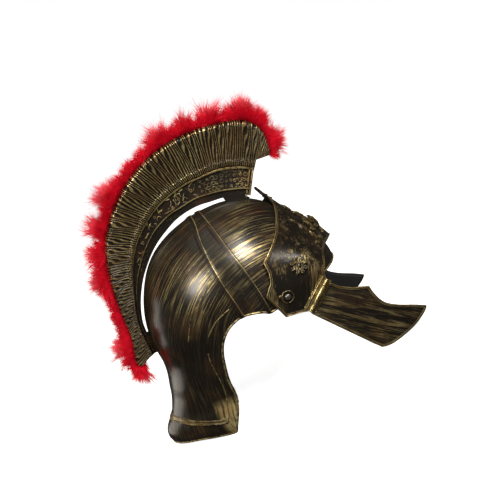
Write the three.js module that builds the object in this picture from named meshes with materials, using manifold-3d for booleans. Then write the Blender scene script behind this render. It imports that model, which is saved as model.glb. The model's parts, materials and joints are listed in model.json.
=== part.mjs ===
// Roman legionary costume helmet: bowl with a deep neck guard, brush crest with a feather trim, brow plate,
// two hinged cheek guards. Millimetres, +X the wearer's front, +Y the wearer's left, +Z up.
// The pieces are laid out from the middle of the bowl, on the table that the helmet stands on.
import * as THREE from "three";
import { mergeVertices } from "three/addons/utils/BufferGeometryUtils.js";
import Module from "manifold-3d";

const wasm = await Module();
wasm.setup();

// Driving dimensions
const bowlHalfLength = 113.5;
const bowlHalfWidth = 83.5;
const crownHeight = 221;
const bowlWall = 2.2;
const pieceGap = 0.3;
const ribWidth = 3.4;
const ribHeight = 1.2;
const fineRibWidth = 2;
const beadWidth = 3.2;
const plateWall = 2;
const plateBeadHeight = 0.9;
const crestDepth = 80;
const crestEdgeThickness = 20;
const crestPanelThickness = 11;
const crestBristles = 26;
const bristleHeight = 0.7;
const featherLength = 19;
const featherStripThickness = 4;
const featherLocks = 34;
const featherLean = 0.24;
const featherSway = 0.7;
const featherSeed = 5;
const hingeLength = 39;
const hingeSlope = THREE.MathUtils.degToRad(32.6);
const knuckleRadius = 3;
const middleKnuckleShare = 0.56;
const pinRadius = 1.2;
const guardReach = 100;
const guardWall = 2;
const guardBulge = 2;
const guardBeadWidth = 2.8;
const guardBeadHeight = 0.8;
const rivetHeadRadius = 3.6;
const rivetHeadHeight = 2;
const rivetShankRadius = 1.6;
const rosetteRadius = 10.5;
const rosetteHeight = 1.8;
const rosettePetals = 8;
const rosetteNotch = 0.84;
const washerRadius = 7.2;
const flangeWidth = 2.4;
const flangeSetback = 4.5;

// Fineness of the round shapes
const ringPoints = 32;
const prowSteps = 8;
const barrelSides = 10;

// Sections of the bowl from below the rim to the crown, as shares of the three bowl sizes
const bowlSections = [
  { height: -0.02, rear: 1.32, front: 1.32, half: 0.985, power: 1.6 },
  { height: 0.015, rear: 1.342, front: 1.342, half: 0.987, power: 1.6 },
  { height: 0.054, rear: 1.363, front: 1.363, half: 0.988, power: 1.62 },
  { height: 0.095, rear: 1.341, front: 1.341, half: 0.98, power: 1.65 },
  { height: 0.127, rear: 1.284, front: 1.284, half: 0.962, power: 1.68 },
  { height: 0.152, rear: 1.222, front: 1.222, half: 0.95, power: 1.7 },
  { height: 0.19, rear: 1.175, front: 1.175, half: 0.952, power: 1.75 },
  { height: 0.24, rear: 1.122, front: 1.122, half: 0.965, power: 1.85 },
  { height: 0.3, rear: 1.078, front: 1.078, half: 0.975, power: 1.95 },
  { height: 0.362, rear: 1.032, front: 1.032, half: 0.982, power: 2 },
  { height: 0.43, rear: 1.004, front: 1.03, half: 0.992, power: 2 },
  { height: 0.5, rear: 0.998, front: 1.03, half: 1, power: 2.05 },
  { height: 0.577, rear: 0.981, front: 0.995, half: 0.993, power: 2.1 },
  { height: 0.65, rear: 0.942, front: 0.94, half: 0.955, power: 2.1 },
  { height: 0.715, rear: 0.887, front: 0.882, half: 0.893, power: 2.1 },
  { height: 0.778, rear: 0.815, front: 0.808, half: 0.81, power: 2.05 },
  { height: 0.835, rear: 0.735, front: 0.745, half: 0.7, power: 2 },
  { height: 0.885, rear: 0.645, front: 0.66, half: 0.585, power: 2 },
  { height: 0.93, rear: 0.53, front: 0.55, half: 0.45, power: 2 },
  { height: 0.965, rear: 0.385, front: 0.405, half: 0.31, power: 2 },
  { height: 0.988, rear: 0.22, front: 0.245, half: 0.17, power: 2 },
];

// Side views, x as a share of the bowl's half length and z as a share of the crown's height
const rimOutline = [
  [-1.5, 0.016],
  [-1.34, 0.016],
  [-1.12, 0.023],
  [-0.91, 0.009],
  [-0.746, 0],
  [-0.7, 0.032],
  [-0.632, 0.09],
  [-0.579, 0.14],
  [-0.552, 0.186],
  [-0.544, 0.24],
  [-0.526, 0.294],
  [-0.491, 0.357],
  [-0.456, 0.407],
  [-0.394, 0.462],
  [-0.315, 0.502],
  [-0.244, 0.52],
  [-0.156, 0.529],
  [-0.068, 0.52],
  [0.03, 0.498],
  [0.1, 0.475],
  [0.18, 0.47],
  [0.6, 0.462],
  [1.3, 0.436],
];
const rearRib = [
  [-0.04, 1.05],
  [-0.041, 0.99],
  [-0.103, 0.9],
  [-0.138, 0.8],
  [-0.147, 0.697],
  [-0.138, 0.597],
  [-0.13, 0.548],
];
const frontRib = [
  [0.055, 1.05],
  [0.055, 0.99],
  [0.064, 0.878],
  [0.073, 0.796],
  [0.09, 0.692],
  [0.099, 0.579],
  [0.096, 0.5],
];
const sideCrease = [
  [-0.165, 0.76],
  [-0.39, 0.69],
  [-0.535, 0.64],
  [-0.67, 0.54],
];
const earRidge = [
  [-0.2, 0.598],
  [-0.36, 0.575],
  [-0.49, 0.525],
];
const neckRidge = [
  [-1.5, 0.152],
  [-1.2, 0.145],
  [-1.04, 0.122],
  [-0.89, 0.1],
  [-0.752, 0.088],
  [-0.69, 0.14],
  [-0.625, 0.235],
  [-0.598, 0.39],
  [-0.572, 0.446],
];
const plateSections = [
  { height: 0.33, front: 1.122, half: 0, prow: 1 },
  { height: 0.45, front: 1.122, half: 0, prow: 1 },
  { height: 0.529, front: 1.122, half: 0, prow: 1 },
  { height: 0.582, front: 1.086, half: -0.006, prow: 0.9 },
  { height: 0.62, front: 1.051, half: -0.016, prow: 0.7 },
  { height: 0.665, front: 0.998, half: -0.043, prow: 0.45 },
  { height: 0.705, front: 0.941, half: -0.078, prow: 0.25 },
  { height: 0.747, front: 0.888, half: -0.123, prow: 0.1 },
  { height: 0.787, front: 0.84, half: -0.178, prow: 0 },
  { height: 0.851, front: 0.779, half: -0.293, prow: 0 },
  { height: 0.91, front: 0.7225, half: -0.43, prow: 0 },
  { height: 0.964, front: 0.672, half: -0.59, prow: 0 },
  { height: 1, front: 0.6, half: -0.72, prow: 0 },
];
// Half of the prow's plan, from the middle of the brow to the flat wing
const prowPlan = [
  [1, 0],
  [0.94, 0.22],
  [0.865, 0.43],
  [0.765, 0.71],
  [0.69, 0.925],
  [0.645, 0.985],
  [0.5, 1],
  [0.25, 1],
  [0, 1],
];
// Rear and upper edge of the brow plate, then its eye-side edge as far as the hinge
const plateUpperEdge = [
  [0.135, 0.556],
  [0.24, 0.606],
  [0.271, 0.647],
  [0.28, 0.697],
  [0.425, 0.733],
  [0.54, 0.767],
  [0.62, 0.801],
  [0.68, 0.833],
  [0.724, 0.862],
  [0.729, 0.887],
  [0.707, 0.914],
  [0.69, 0.937],
  [0.672, 0.958],
];
const plateEyeEdge = [
  [1.122, 0.529],
  [1.069, 0.541],
  [1.007, 0.55],
  [0.937, 0.5565],
  [0.866, 0.554],
  [0.796, 0.538],
  [0.73, 0.518],
];
const plateRearCorner = [
  [0.36, 0.397],
  [0.205, 0.421],
];
// The raised ornament on the forehead, as seen from the side
const foreheadRelief = [
  [0.735, 0.8],
  [0.79, 0.8],
  [1.3, 0.7],
  [1.3, 0.59],
  [0.95, 0.59],
  [0.83, 0.57],
  [0.78, 0.62],
];
const hingeMiddleShare = { x: 0.5665, z: 0.431 };
const rivetShare = { x: 0.312, z: 0.503 };
const rosetteShare = { x: 0.545, z: 0.6 };

// Crest stations from the nape to the brow: the inner edge as shares of the bowl sizes, the depths as
// shares of the crest's depth
const crestStations = [
  { angle: 192, x: -1.02, z: 0.497, low: 0.02, top: 0.05, outer: 0.22 },
  { angle: 193, x: -1.0, z: 0.53, low: 0.025, top: 0.055, outer: 0.33 },
  { angle: 188, x: -0.967, z: 0.648, low: 0.035, top: 0.06, outer: 0.235 },
  { angle: 178, x: -0.886, z: 0.747, low: 0.05, top: 0.08, outer: 0.29 },
  { angle: 166, x: -0.754, z: 0.843, low: 0.085, top: 0.14, outer: 0.415 },
  { angle: 154, x: -0.604, z: 0.916, low: 0.105, top: 0.22, outer: 0.56 },
  { angle: 142, x: -0.456, z: 0.969, low: 0.12, top: 0.275, outer: 0.68 },
  { angle: 130, x: -0.306, z: 1.003, low: 0.135, top: 0.31, outer: 0.77 },
  { angle: 118, x: -0.164, z: 1.026, low: 0.12, top: 0.33, outer: 0.83 },
  { angle: 106, x: -0.026, z: 1.033, low: 0.1, top: 0.35, outer: 0.89 },
  { angle: 94, x: 0.103, z: 1.0285, low: 0.11, top: 0.37, outer: 0.944 },
  { angle: 82, x: 0.222, z: 1.0136, low: 0.11, top: 0.39, outer: 0.99 },
  { angle: 70, x: 0.336, z: 1.0, low: 0.1, top: 0.41, outer: 1.006 },
  { angle: 58, x: 0.4485, z: 0.979, low: 0.09, top: 0.41, outer: 1.036 },
  { angle: 54, x: 0.523, z: 0.9606, low: 0.09, top: 0.4, outer: 1.01 },
  { angle: 51, x: 0.586, z: 0.939, low: 0.09, top: 0.39, outer: 0.935 },
  { angle: 43, x: 0.592, z: 0.936, low: 0.09, top: 0.39, outer: 0.77 },
  { angle: 36, x: 0.598, z: 0.933, low: 0.09, top: 0.38, outer: 0.62 },
];
// The crest's slanted front frame, from the brush down to the brow, and the foot behind its lower corner
const crestFront = [
  [0.792, 1.08],
  [0.5885, 0.9385],
  [0.53, 0.905],
];

// Side views of the two feet that the crest stands on, from inside the crest down into the bowl's form
const crestFrontFoot = [
  [0.35, 1.01],
  [0.4485, 0.99],
  [0.523, 0.97],
  [0.6, 0.94],
  [0.56, 0.85],
  [0.42, 0.9],
  [0.36, 0.95],
];
const crestRearFoot = [
  [-1.045, 0.5],
  [-1.02, 0.53],
  [-1.005, 0.6],
  [-0.93, 0.6],
  [-0.95, 0.49],
];

// The cheek guard's outline from the front end of the hinge, as shares of its reach and of the hinge's height
const guardOutline = [
  [0.174, 0.047],
  [0.25, -0.05],
  [0.36, -0.14],
  [0.525, -0.232],
  [0.54, -0.353],
  [0.589, -0.49],
  [0.704, -0.608],
  [0.876, -0.73],
  [1, -0.827],
  [0.98, -0.86],
  [0.906, -0.909],
  [0.774, -0.963],
  [0.606, -0.993],
  [0.48, -1],
  [0.4, -0.985],
  [0.338, -0.959],
  [0.269, -0.854],
  [-0.153, -0.16],
];

const hinge = {
  x: hingeMiddleShare.x * bowlHalfLength,
  z: hingeMiddleShare.z * crownHeight,
  halfLength: hingeLength / 2,
};
const plateHalfWidth = bowlHalfWidth + pieceGap + plateWall;
const hingeOut = plateHalfWidth + knuckleRadius + pieceGap;

// A closed mesh of triangles as a solid that can be joined and cut, its faces turned out if they point in
function solidOf(geometry) {
  const bare = new THREE.BufferGeometry();
  const source = geometry.index ? geometry.toNonIndexed() : geometry;
  bare.setAttribute("position", source.getAttribute("position"));
  const merged = mergeVertices(bare, 1e-4);
  const triVerts = new Uint32Array(merged.index.array);
  const make = () =>
    new wasm.Manifold(
      new wasm.Mesh({ numProp: 3, vertProperties: merged.attributes.position.array, triVerts }),
    );
  const made = make();
  if (made.volume() > 0) return made;
  for (let i = 0; i < triVerts.length; i += 3) triVerts.subarray(i, i + 3).reverse();
  return make();
}

function geometryOf(solid) {
  const mesh = solid.getMesh();
  const geometry = new THREE.BufferGeometry();
  const positions = new Float32Array((mesh.vertProperties.length / mesh.numProp) * 3);
  for (let i = 0; i * 3 < positions.length; i += 1) {
    for (let k = 0; k < 3; k += 1) positions[i * 3 + k] = mesh.vertProperties[i * mesh.numProp + k];
  }
  geometry.setAttribute("position", new THREE.BufferAttribute(positions, 3));
  geometry.setIndex(Array.from(mesh.triVerts));
  geometry.computeVertexNormals();
  return geometry;
}

// Rings of equal point counts, from low to high, skinned and capped at both ends
function loft(rings) {
  const vertices = [];
  const faces = [];
  const count = rings[0].length;
  rings.forEach((ring) => ring.forEach((point) => vertices.push(...point)));
  for (let level = 0; level + 1 < rings.length; level += 1) {
    for (let i = 0; i < count; i += 1) {
      const next = (i + 1) % count;
      const a = level * count + i;
      const b = level * count + next;
      faces.push(a, b, b + count, a, b + count, a + count);
    }
  }
  const capCentre = (ring) => {
    const sum = ring.reduce((total, point) => total.map((value, k) => value + point[k]), [0, 0, 0]);
    vertices.push(...sum.map((value) => value / ring.length));
    return vertices.length / 3 - 1;
  };
  const bottom = capCentre(rings[0]);
  const top = capCentre(rings[rings.length - 1]);
  const last = (rings.length - 1) * count;
  for (let i = 0; i < count; i += 1) {
    const next = (i + 1) % count;
    faces.push(bottom, next, i, top, last + i, last + next);
  }
  const geometry = new THREE.BufferGeometry();
  geometry.setAttribute("position", new THREE.Float32BufferAttribute(vertices, 3));
  geometry.setIndex(faces);
  return geometry;
}

// A side view drawn in x and z, carried through the whole width
function prism(outline, halfDepth = bowlHalfWidth * 2) {
  const shape = new THREE.Shape(outline.map(([x, z]) => new THREE.Vector2(x, z)));
  const geometry = new THREE.ExtrudeGeometry(shape, { depth: halfDepth * 2, bevelEnabled: false });
  geometry.rotateX(Math.PI / 2);
  geometry.translate(0, halfDepth, 0);
  return solidOf(geometry);
}

const bowlView = (points) => points.map(([x, z]) => [x * bowlHalfLength, z * crownHeight]);

// A strip of even width along a line in the side view
function ribbon(line, width) {
  const side = (sign) =>
    line.map(([x, z], i) => {
      const [x0, z0] = line[Math.max(i - 1, 0)];
      const [x1, z1] = line[Math.min(i + 1, line.length - 1)];
      const length = Math.hypot(x1 - x0, z1 - z0);
      const shift = (sign * width) / 2 / length;
      return [x - (z1 - z0) * shift, z + (x1 - x0) * shift];
    });
  return prism([...side(1), ...side(-1).reverse()]);
}

const power = (value, exponent) => Math.sign(value) * Math.abs(value) ** exponent;

// The bowl's outer form, moved out by a distance
function bowlForm(out) {
  const inside = out < -pieceGap;
  const rows = bowlSections.filter((row, i) => !inside || row.height < 0.4 || i % 2 === 0);
  const rings = rows.map((row) => {
    const middle = ((row.front - row.rear) / 2) * bowlHalfLength;
    const reach = ((row.front + row.rear) / 2) * bowlHalfLength + out;
    const half = row.half * bowlHalfWidth + out;
    const z = row.height * crownHeight + out * Math.max(row.height, 0);
    return Array.from({ length: ringPoints }, (_, i) => {
      const turn = (i / ringPoints) * Math.PI * 2;
      return [
        middle + reach * power(Math.cos(turn), 2 / row.power),
        half * power(Math.sin(turn), 2 / row.power),
        z,
      ];
    });
  });
  if (out < 0) rings.unshift(rings[0].map(([x, y, z]) => [x, y, z + out]));
  const geometry = loft(rings);
  const crown = geometry.attributes.position.count - 1;
  geometry.attributes.position.setZ(crown, crownHeight + out);
  return solidOf(geometry);
}

// Half width of a lofted form at a point of the side view
function halfWidthAt(rows, x, z) {
  const share = z / crownHeight;
  const above = rows.findIndex((row) => row.height > share);
  const low = rows[above - 1];
  const high = rows[above];
  const mix = (share - low.height) / (high.height - low.height);
  const of = (key) => low[key] + (high[key] - low[key]) * mix;
  const middle = ((of("front") - of("rear")) / 2) * bowlHalfLength;
  const reach = ((of("front") + of("rear")) / 2) * bowlHalfLength;
  const along = Math.abs((x - middle) / reach) ** of("power");
  return of("half") * bowlHalfWidth * (1 - along) ** (1 / of("power"));
}

const bowlOuter = bowlForm(0);
const bowlSeat = bowlForm(pieceGap);

function cylinderAlong(from, to, radius, sides = barrelSides) {
  const start = new THREE.Vector3(...from);
  const end = new THREE.Vector3(...to);
  const axis = end.clone().sub(start);
  const geometry = new THREE.CylinderGeometry(radius, radius, axis.length(), sides);
  geometry.applyQuaternion(
    new THREE.Quaternion().setFromUnitVectors(new THREE.Vector3(0, 1, 0), axis.clone().normalize()),
  );
  geometry.translate(...start.add(end).multiplyScalar(0.5).toArray());
  return solidOf(geometry);
}

const rivet = {
  x: rivetShare.x * bowlHalfLength,
  z: rivetShare.z * crownHeight,
};
rivet.inner = halfWidthAt(bowlSections, rivet.x, rivet.z) - bowlWall;

// A cylinder on the rivets' line, right across the helmet
function acrossAtRivet(radius) {
  const reach = plateHalfWidth * 2;
  return cylinderAlong([rivet.x, -reach, rivet.z], [rivet.x, reach, rivet.z], radius, barrelSides * 2);
}

const rivetHoles = () => acrossAtRivet(rivetShankRadius + pieceGap);

function skullBowl() {
  const bands = [
    ribbon(bowlView(rearRib), ribWidth),
    ribbon(bowlView(frontRib), ribWidth),
    ribbon(bowlView(sideCrease), fineRibWidth),
    ribbon(bowlView(earRidge), fineRibWidth),
    ribbon(bowlView(neckRidge), ribWidth),
    ribbon(bowlView(rimOutline), beadWidth * 2),
  ];
  const raised = bands.reduce((sum, band) => sum.add(band)).intersect(bowlForm(ribHeight));
  const clear = bowlHalfLength * 1.6;
  const below = prism([...bowlView(rimOutline), [clear, -clear], [-clear, -clear]]);
  return bowlOuter.add(raised).subtract(bowlForm(-bowlWall)).subtract(below).subtract(rivetHoles());
}

// The brow plate's form: a prow at the eyes that grows round above them, closed behind the wings
function plateForm(out, back) {
  const prow = new THREE.SplineCurve(prowPlan.map(([x, y]) => new THREE.Vector2(x, y)));
  const rings = plateSections.map((row) => {
    const reach = row.front * bowlHalfLength + out;
    const half = plateHalfWidth + row.half * bowlHalfWidth + out;
    const quarter = Array.from({ length: prowSteps + 1 }, (_, i) => {
      const turn = ((i / prowSteps) * Math.PI) / 2;
      const flat = prow.getPointAt(i / prowSteps);
      const x = THREE.MathUtils.lerp(Math.cos(turn), flat.x, row.prow);
      const y = THREE.MathUtils.lerp(Math.sin(turn), flat.y, row.prow);
      return [x * reach, y * half, row.height * crownHeight];
    });
    const right = quarter.map(([x, y, z]) => [x, -y, z]).reverse();
    const left = quarter.slice(1);
    return [[back, -half, row.height * crownHeight], ...right, ...left, [back, half, row.height * crownHeight]];
  });
  return solidOf(loft(rings));
}

const alongHinge = (distance, drop) => [
  hinge.x + Math.cos(hingeSlope) * distance + Math.sin(hingeSlope) * drop,
  hinge.z + Math.sin(hingeSlope) * distance - Math.cos(hingeSlope) * drop,
];

const hingePoint = (distance, side) => {
  const [x, z] = alongHinge(distance, 0);
  return [x, side * hingeOut, z];
};

// One knuckle with the lug that ties it to its sheet, above or below the hinge line
function knuckle(from, to, side, up) {
  const barrel = cylinderAlong(hingePoint(from, side), hingePoint(to, side), knuckleRadius);
  const lugDepth = (hingeOut - plateHalfWidth + plateWall) / 2;
  const near = up * pieceGap;
  const far = up * knuckleRadius;
  const lug = prism(
    [alongHinge(from, -near), alongHinge(to, -near), alongHinge(to, -far), alongHinge(from, -far)],
    lugDepth,
  ).translate([0, side * (hingeOut - lugDepth), 0]);
  return barrel.add(lug);
}

// Room for the neighbour's knuckle to turn in
function knuckleRelief(from, to, side) {
  return cylinderAlong(hingePoint(from, side), hingePoint(to, side), knuckleRadius + pieceGap);
}

// The beaded strip beside the knuckles
function hingeFlange(drop) {
  return ribbon([alongHinge(-hinge.halfLength, drop), alongHinge(hinge.halfLength, drop)], flangeWidth);
}

const middleHalf = hinge.halfLength * middleKnuckleShare;
const bothSides = [-1, 1];

function hingeBores() {
  const reach = hinge.halfLength * 2;
  return bothSides
    .map((side) => cylinderAlong(hingePoint(-reach, side), hingePoint(reach, side), pinRadius + pieceGap, 8))
    .reduce((sum, bore) => sum.add(bore));
}

// A raised flower on the wing, its rim notched between the petals
function rosette(side) {
  const x = rosetteShare.x * bowlHalfLength;
  const z = rosetteShare.z * crownHeight;
  const outline = Array.from({ length: rosettePetals * 2 }, (_, i) => {
    const radius = rosetteRadius * (i % 2 ? rosetteNotch : 1);
    const turn = (i / rosettePetals) * Math.PI;
    return [x + Math.cos(turn) * radius, z + Math.sin(turn) * radius];
  });
  return prism(outline).intersect(plateForm(rosetteHeight, 0)).intersect(halfSpace(side));
}

const halfSpace = (side) => {
  const reach = bowlHalfLength * 4;
  const box = new THREE.BoxGeometry(reach, reach, reach);
  box.translate(0, (side * reach) / 2, 0);
  return solidOf(box);
};

function browPlate() {
  const upper = bowlView(plateUpperEdge);
  const peak = upper[upper.length - 1];
  const eye = bowlView(plateEyeEdge);
  const hingeFront = alongHinge(hinge.halfLength, -pieceGap / 2);
  const hingeRear = alongHinge(-hinge.halfLength, -pieceGap / 2);
  const corner = bowlView(plateRearCorner);
  const clear = bowlHalfLength * 1.6;
  const outline = [
    ...upper,
    [clear, peak[1]],
    [clear, eye[0][1]],
    ...eye,
    hingeFront,
    hingeRear,
    ...corner,
  ];
  const bead = [
    ribbon(upper, beadWidth * 2),
    ribbon([peak, [clear, peak[1]]], beadWidth * 2),
    ribbon([[clear, eye[0][1]], ...eye, hingeFront], beadWidth * 2),
    ribbon([hingeRear, ...corner, upper[0]], beadWidth * 2),
  ].reduce((sum, band) => sum.add(band));
  const flange = hingeFlange(-flangeSetback);
  const relief = prism(bowlView(foreheadRelief)).intersect(plateForm(rosetteHeight, 0));
  const raised = bead.add(flange).intersect(plateForm(plateBeadHeight, 0));
  const washer = acrossAtRivet(washerRadius).intersect(plateForm(plateBeadHeight, 0));
  let plate = plateForm(0, 0)
    .add(raised)
    .add(washer)
    .add(relief)
    .intersect(prism(outline));
  bothSides.forEach((side) => {
    plate = plate
      .subtract(knuckleRelief(-middleHalf - pieceGap, middleHalf + pieceGap, side))
      .add(rosette(side))
      .add(knuckle(middleHalf + pieceGap, hinge.halfLength, side, 1))
      .add(knuckle(-hinge.halfLength, -middleHalf - pieceGap, side, 1));
  });
  return plate
    .subtract(plateForm(-plateWall, -plateWall * 5))
    .subtract(bowlSeat)
    .subtract(hingeBores())
    .subtract(rivetHoles());
}

// The guard's sheet, bulging between its edges, on one side of the helmet
function guardSheet(side, out, wall) {
  const across = 7;
  const down = 8;
  const reach = guardReach * 1.3;
  const drop = hinge.z * 1.3;
  const bulge = (x, z) => {
    const u = (x - hinge.x) / guardReach - 0.4;
    const v = (z - hinge.z) / hinge.z + 0.5;
    return guardBulge * Math.max(1 - 2 * u * u - 4 * v * v, -1);
  };
  const rings = Array.from({ length: down + 1 }, (_, j) => {
    const z = hinge.z - drop + (j / down) * drop * 1.35;
    const row = Array.from({ length: across + 1 }, (_, i) => {
      const x = hinge.x - guardReach * 0.3 + (i / across) * reach;
      return [x, plateHalfWidth + bulge(x, z), z];
    });
    const outer = row.map(([x, y, level]) => [x, side * (y + out), level]);
    const inner = row.map(([x, y, level]) => [x, side * (y - wall), level]).reverse();
    const ring = [...outer, ...inner];
    return side < 0 ? ring : ring.reverse();
  });
  return solidOf(loft(rings));
}

function cheekGuard(side) {
  const front = alongHinge(hinge.halfLength, pieceGap / 2);
  const rear = alongHinge(-hinge.halfLength, pieceGap / 2);
  const edge = guardOutline.map(([x, z]) => [hinge.x + x * guardReach, hinge.z + z * hinge.z]);
  const outline = [front, ...edge, rear];
  const bead = ribbon(outline, guardBeadWidth * 2).intersect(guardSheet(side, guardBeadHeight, guardWall));
  const flange = hingeFlange(flangeSetback).intersect(guardSheet(side, guardBeadHeight, guardWall));
  return guardSheet(side, 0, guardWall)
    .add(bead)
    .add(flange)
    .intersect(prism(outline))
    .subtract(knuckleRelief(middleHalf, hinge.halfLength * 1.2, side))
    .subtract(knuckleRelief(-hinge.halfLength * 1.2, -middleHalf, side))
    .add(knuckle(-middleHalf, middleHalf, side, -1))
    .subtract(hingeBores());
}

function hingePin(side) {
  return cylinderAlong(
    hingePoint(-hinge.halfLength, side),
    hingePoint(hinge.halfLength, side),
    pinRadius,
    barrelSides,
  );
}

function browRivet(side) {
  const at = (y) => [rivet.x, side * y, rivet.z];
  const plateFace = plateHalfWidth + plateBeadHeight + pieceGap;
  const head = new THREE.LatheGeometry(
    [
      new THREE.Vector2(0, 0),
      new THREE.Vector2(rivetHeadRadius, 0),
      new THREE.Vector2(rivetHeadRadius, rivetHeadHeight * 0.45),
      new THREE.Vector2(rivetHeadRadius * 0.6, rivetHeadHeight * 0.9),
      new THREE.Vector2(0, rivetHeadHeight),
    ],
    barrelSides,
  );
  if (side < 0) head.rotateX(Math.PI);
  head.translate(...at(plateFace));
  const tailEnd = rivet.inner - rivetHeadHeight;
  const tail = cylinderAlong(at(tailEnd), at(plateFace), rivetHeadRadius).intersect(
    bowlForm(-bowlWall - pieceGap),
  );
  const shank = cylinderAlong(at(tailEnd + pieceGap), at(plateFace + pieceGap), rivetShankRadius);
  return solidOf(head).add(shank).add(tail);
}

// A point of the crest: how far round it, then how far out from its inner edge
function crestPoint(turn, depth) {
  const place = turn * (crestStations.length - 1);
  const i = Math.min(Math.floor(place), crestStations.length - 2);
  const mix = place - i;
  const pick = (key) => {
    const at = (k) => crestStations[THREE.MathUtils.clamp(k, 0, crestStations.length - 1)][key];
    const [a, b, c, d] = [at(i - 1), at(i), at(i + 1), at(i + 2)];
    return b + 0.5 * mix * (c - a + mix * (2 * a - 5 * b + 4 * c - d + mix * (3 * (b - c) + d - a)));
  };
  const angle = THREE.MathUtils.degToRad(pick("angle"));
  const out = crestDepth * depth(pick);
  return [pick("x") * bowlHalfLength + Math.cos(angle) * out, pick("z") * crownHeight + Math.sin(angle) * out];
}

// Rows across the crest, from its inner edge to the brush's rim: depth, half thickness, brush or panel
const crestRows = [
  { depth: () => 0, half: 1, brush: 0 },
  { depth: (pick) => pick("low") - 0.012, half: 1, brush: 0 },
  { depth: (pick) => pick("low") + 0.012, half: 1.24, brush: 0 },
  { depth: (pick) => pick("low") + 0.03, half: 1, brush: 0 },
  { depth: (pick) => Math.max(pick("top") - 0.015, pick("low") + 0.035), half: 1, brush: 0 },
  { depth: (pick) => Math.max(pick("top"), pick("low") + 0.04), half: 1.32, brush: 0 },
  { depth: (pick) => pick("top") + 0.05, half: 0.72, brush: 1 },
  { depth: (pick) => pick("outer") - 0.06, half: 1, brush: 1 },
  { depth: (pick) => pick("outer"), half: 0.86, brush: 1 },
];

function crestFan(out) {
  const columns = crestBristles * 2;
  const rings = Array.from({ length: columns + 1 }, (_, column) => {
    const turn = column / columns;
    const swell = (column % 2) * 2 - 1;
    const side = crestRows.map((row) => {
      const [x, z] = crestPoint(turn, (pick) => row.depth(pick) + out / crestDepth);
      const base = row.brush ? crestEdgeThickness : crestPanelThickness;
      return [x, row.half * base * 0.5 + (swell * row.brush * bristleHeight) / 2 + out, z];
    });
    return [...side.map(([x, y, z]) => [x, -y, z]), ...side.reverse()];
  });
  return solidOf(loft(rings));
}

function crest() {
  const tip = crestPoint(1, (pick) => pick("outer"));
  const frame = bowlView(crestFront);
  const clear = bowlHalfLength * 2;
  const foot = frame[frame.length - 1];
  const front = [tip, ...frame, [foot[0], -clear], [clear, -clear], [clear, tip[1]]];
  const feet = [crestFrontFoot, crestRearFoot].map((outline) =>
    prism(bowlView(outline), crestPanelThickness / 2),
  );
  return feet.reduce((sum, block) => sum.add(block), crestFan(0)).subtract(prism(front)).subtract(bowlSeat);
}

// Steady numbers in 0 to 1 for the feathers, the same at every run
function steadyRandom(seed) {
  let state = seed;
  return () => {
    state = (state * 16807) % 2147483647;
    return state / 2147483647;
  };
}

function plume() {
  const random = steadyRandom(featherSeed);
  const half = crestEdgeThickness * 0.36;
  const columns = crestBristles * 2;
  const rings = Array.from({ length: columns - 1 }, (_, i) => {
    const turn = (i + 1) / columns;
    const [x0, z0] = crestPoint(turn, (pick) => pick("outer") - pieceGap / crestDepth);
    const [x1, z1] = crestPoint(turn, (pick) => pick("outer") + featherStripThickness / crestDepth);
    return [
      [x0, -half, z0],
      [x1, -half, z1],
      [x1, half, z1],
      [x0, half, z0],
    ];
  });
  let feathers = solidOf(loft(rings));
  for (let i = 0; i < featherLocks; i += 1) {
    const turn = 0.03 + ((i + 0.5) / featherLocks) * 0.95;
    const [x, z] = crestPoint(turn, (pick) => pick("outer") + (featherStripThickness * 0.5) / crestDepth);
    const [xBack, zBack] = crestPoint(turn - 0.02, (pick) => pick("outer"));
    const [xAhead, zAhead] = crestPoint(turn + 0.02, (pick) => pick("outer"));
    const away = Math.atan2(zBack - zAhead, xAhead - xBack) + (random() - 0.5) * featherLean;
    const sway = (random() - 0.5) * featherSway;
    const length = featherLength * (0.8 + 0.4 * random());
    const lock = new THREE.ConeGeometry(half * 0.9, length, 5);
    lock.translate(0, length / 2, 0);
    lock.rotateX(sway);
    lock.rotateX(Math.PI / 2);
    lock.rotateY(away);
    lock.translate(x, 0, z);
    feathers = feathers.add(solidOf(lock));
  }
  return feathers.subtract(crestFan(pieceGap));
}

const gildedPlastic = { color: 0x2a2316, roughness: 0.38, metalness: 0.35 };
const redFeather = { color: 0xc8102e, roughness: 0.9, metalness: 0 };
const greySteel = { color: 0x9a9a96, roughness: 0.35, metalness: 0.9 };

const helmet = new THREE.Group();

function place(name, solid, look) {
  const mesh = new THREE.Mesh(geometryOf(solid), new THREE.MeshStandardMaterial(look));
  mesh.name = name;
  helmet.add(mesh);
}

place("skull_bowl", skullBowl(), gildedPlastic);
place("crest", crest(), gildedPlastic);
place("plume", plume(), redFeather);
place("brow_plate", browPlate(), gildedPlastic);
for (const [side, word] of [
  [-1, "right"],
  [1, "left"],
]) {
  place(`brow_rivet_${word}`, browRivet(side), greySteel);
  place(`hinge_pin_${word}`, hingePin(side), greySteel);
  place(`cheek_guard_${word}`, cheekGuard(side), gildedPlastic);
}

// The whole helmet stands over the middle of its own length
const bounds = new THREE.Box3().setFromObject(helmet);
helmet.position.x = -(bounds.min.x + bounds.max.x) / 2;

export default helmet;
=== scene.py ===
import json
import math
import random

import bmesh
import bpy
import numpy as np
from bpy.props import FloatProperty, FloatVectorProperty, IntProperty, PointerProperty
from mathutils import Matrix, Vector


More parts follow.
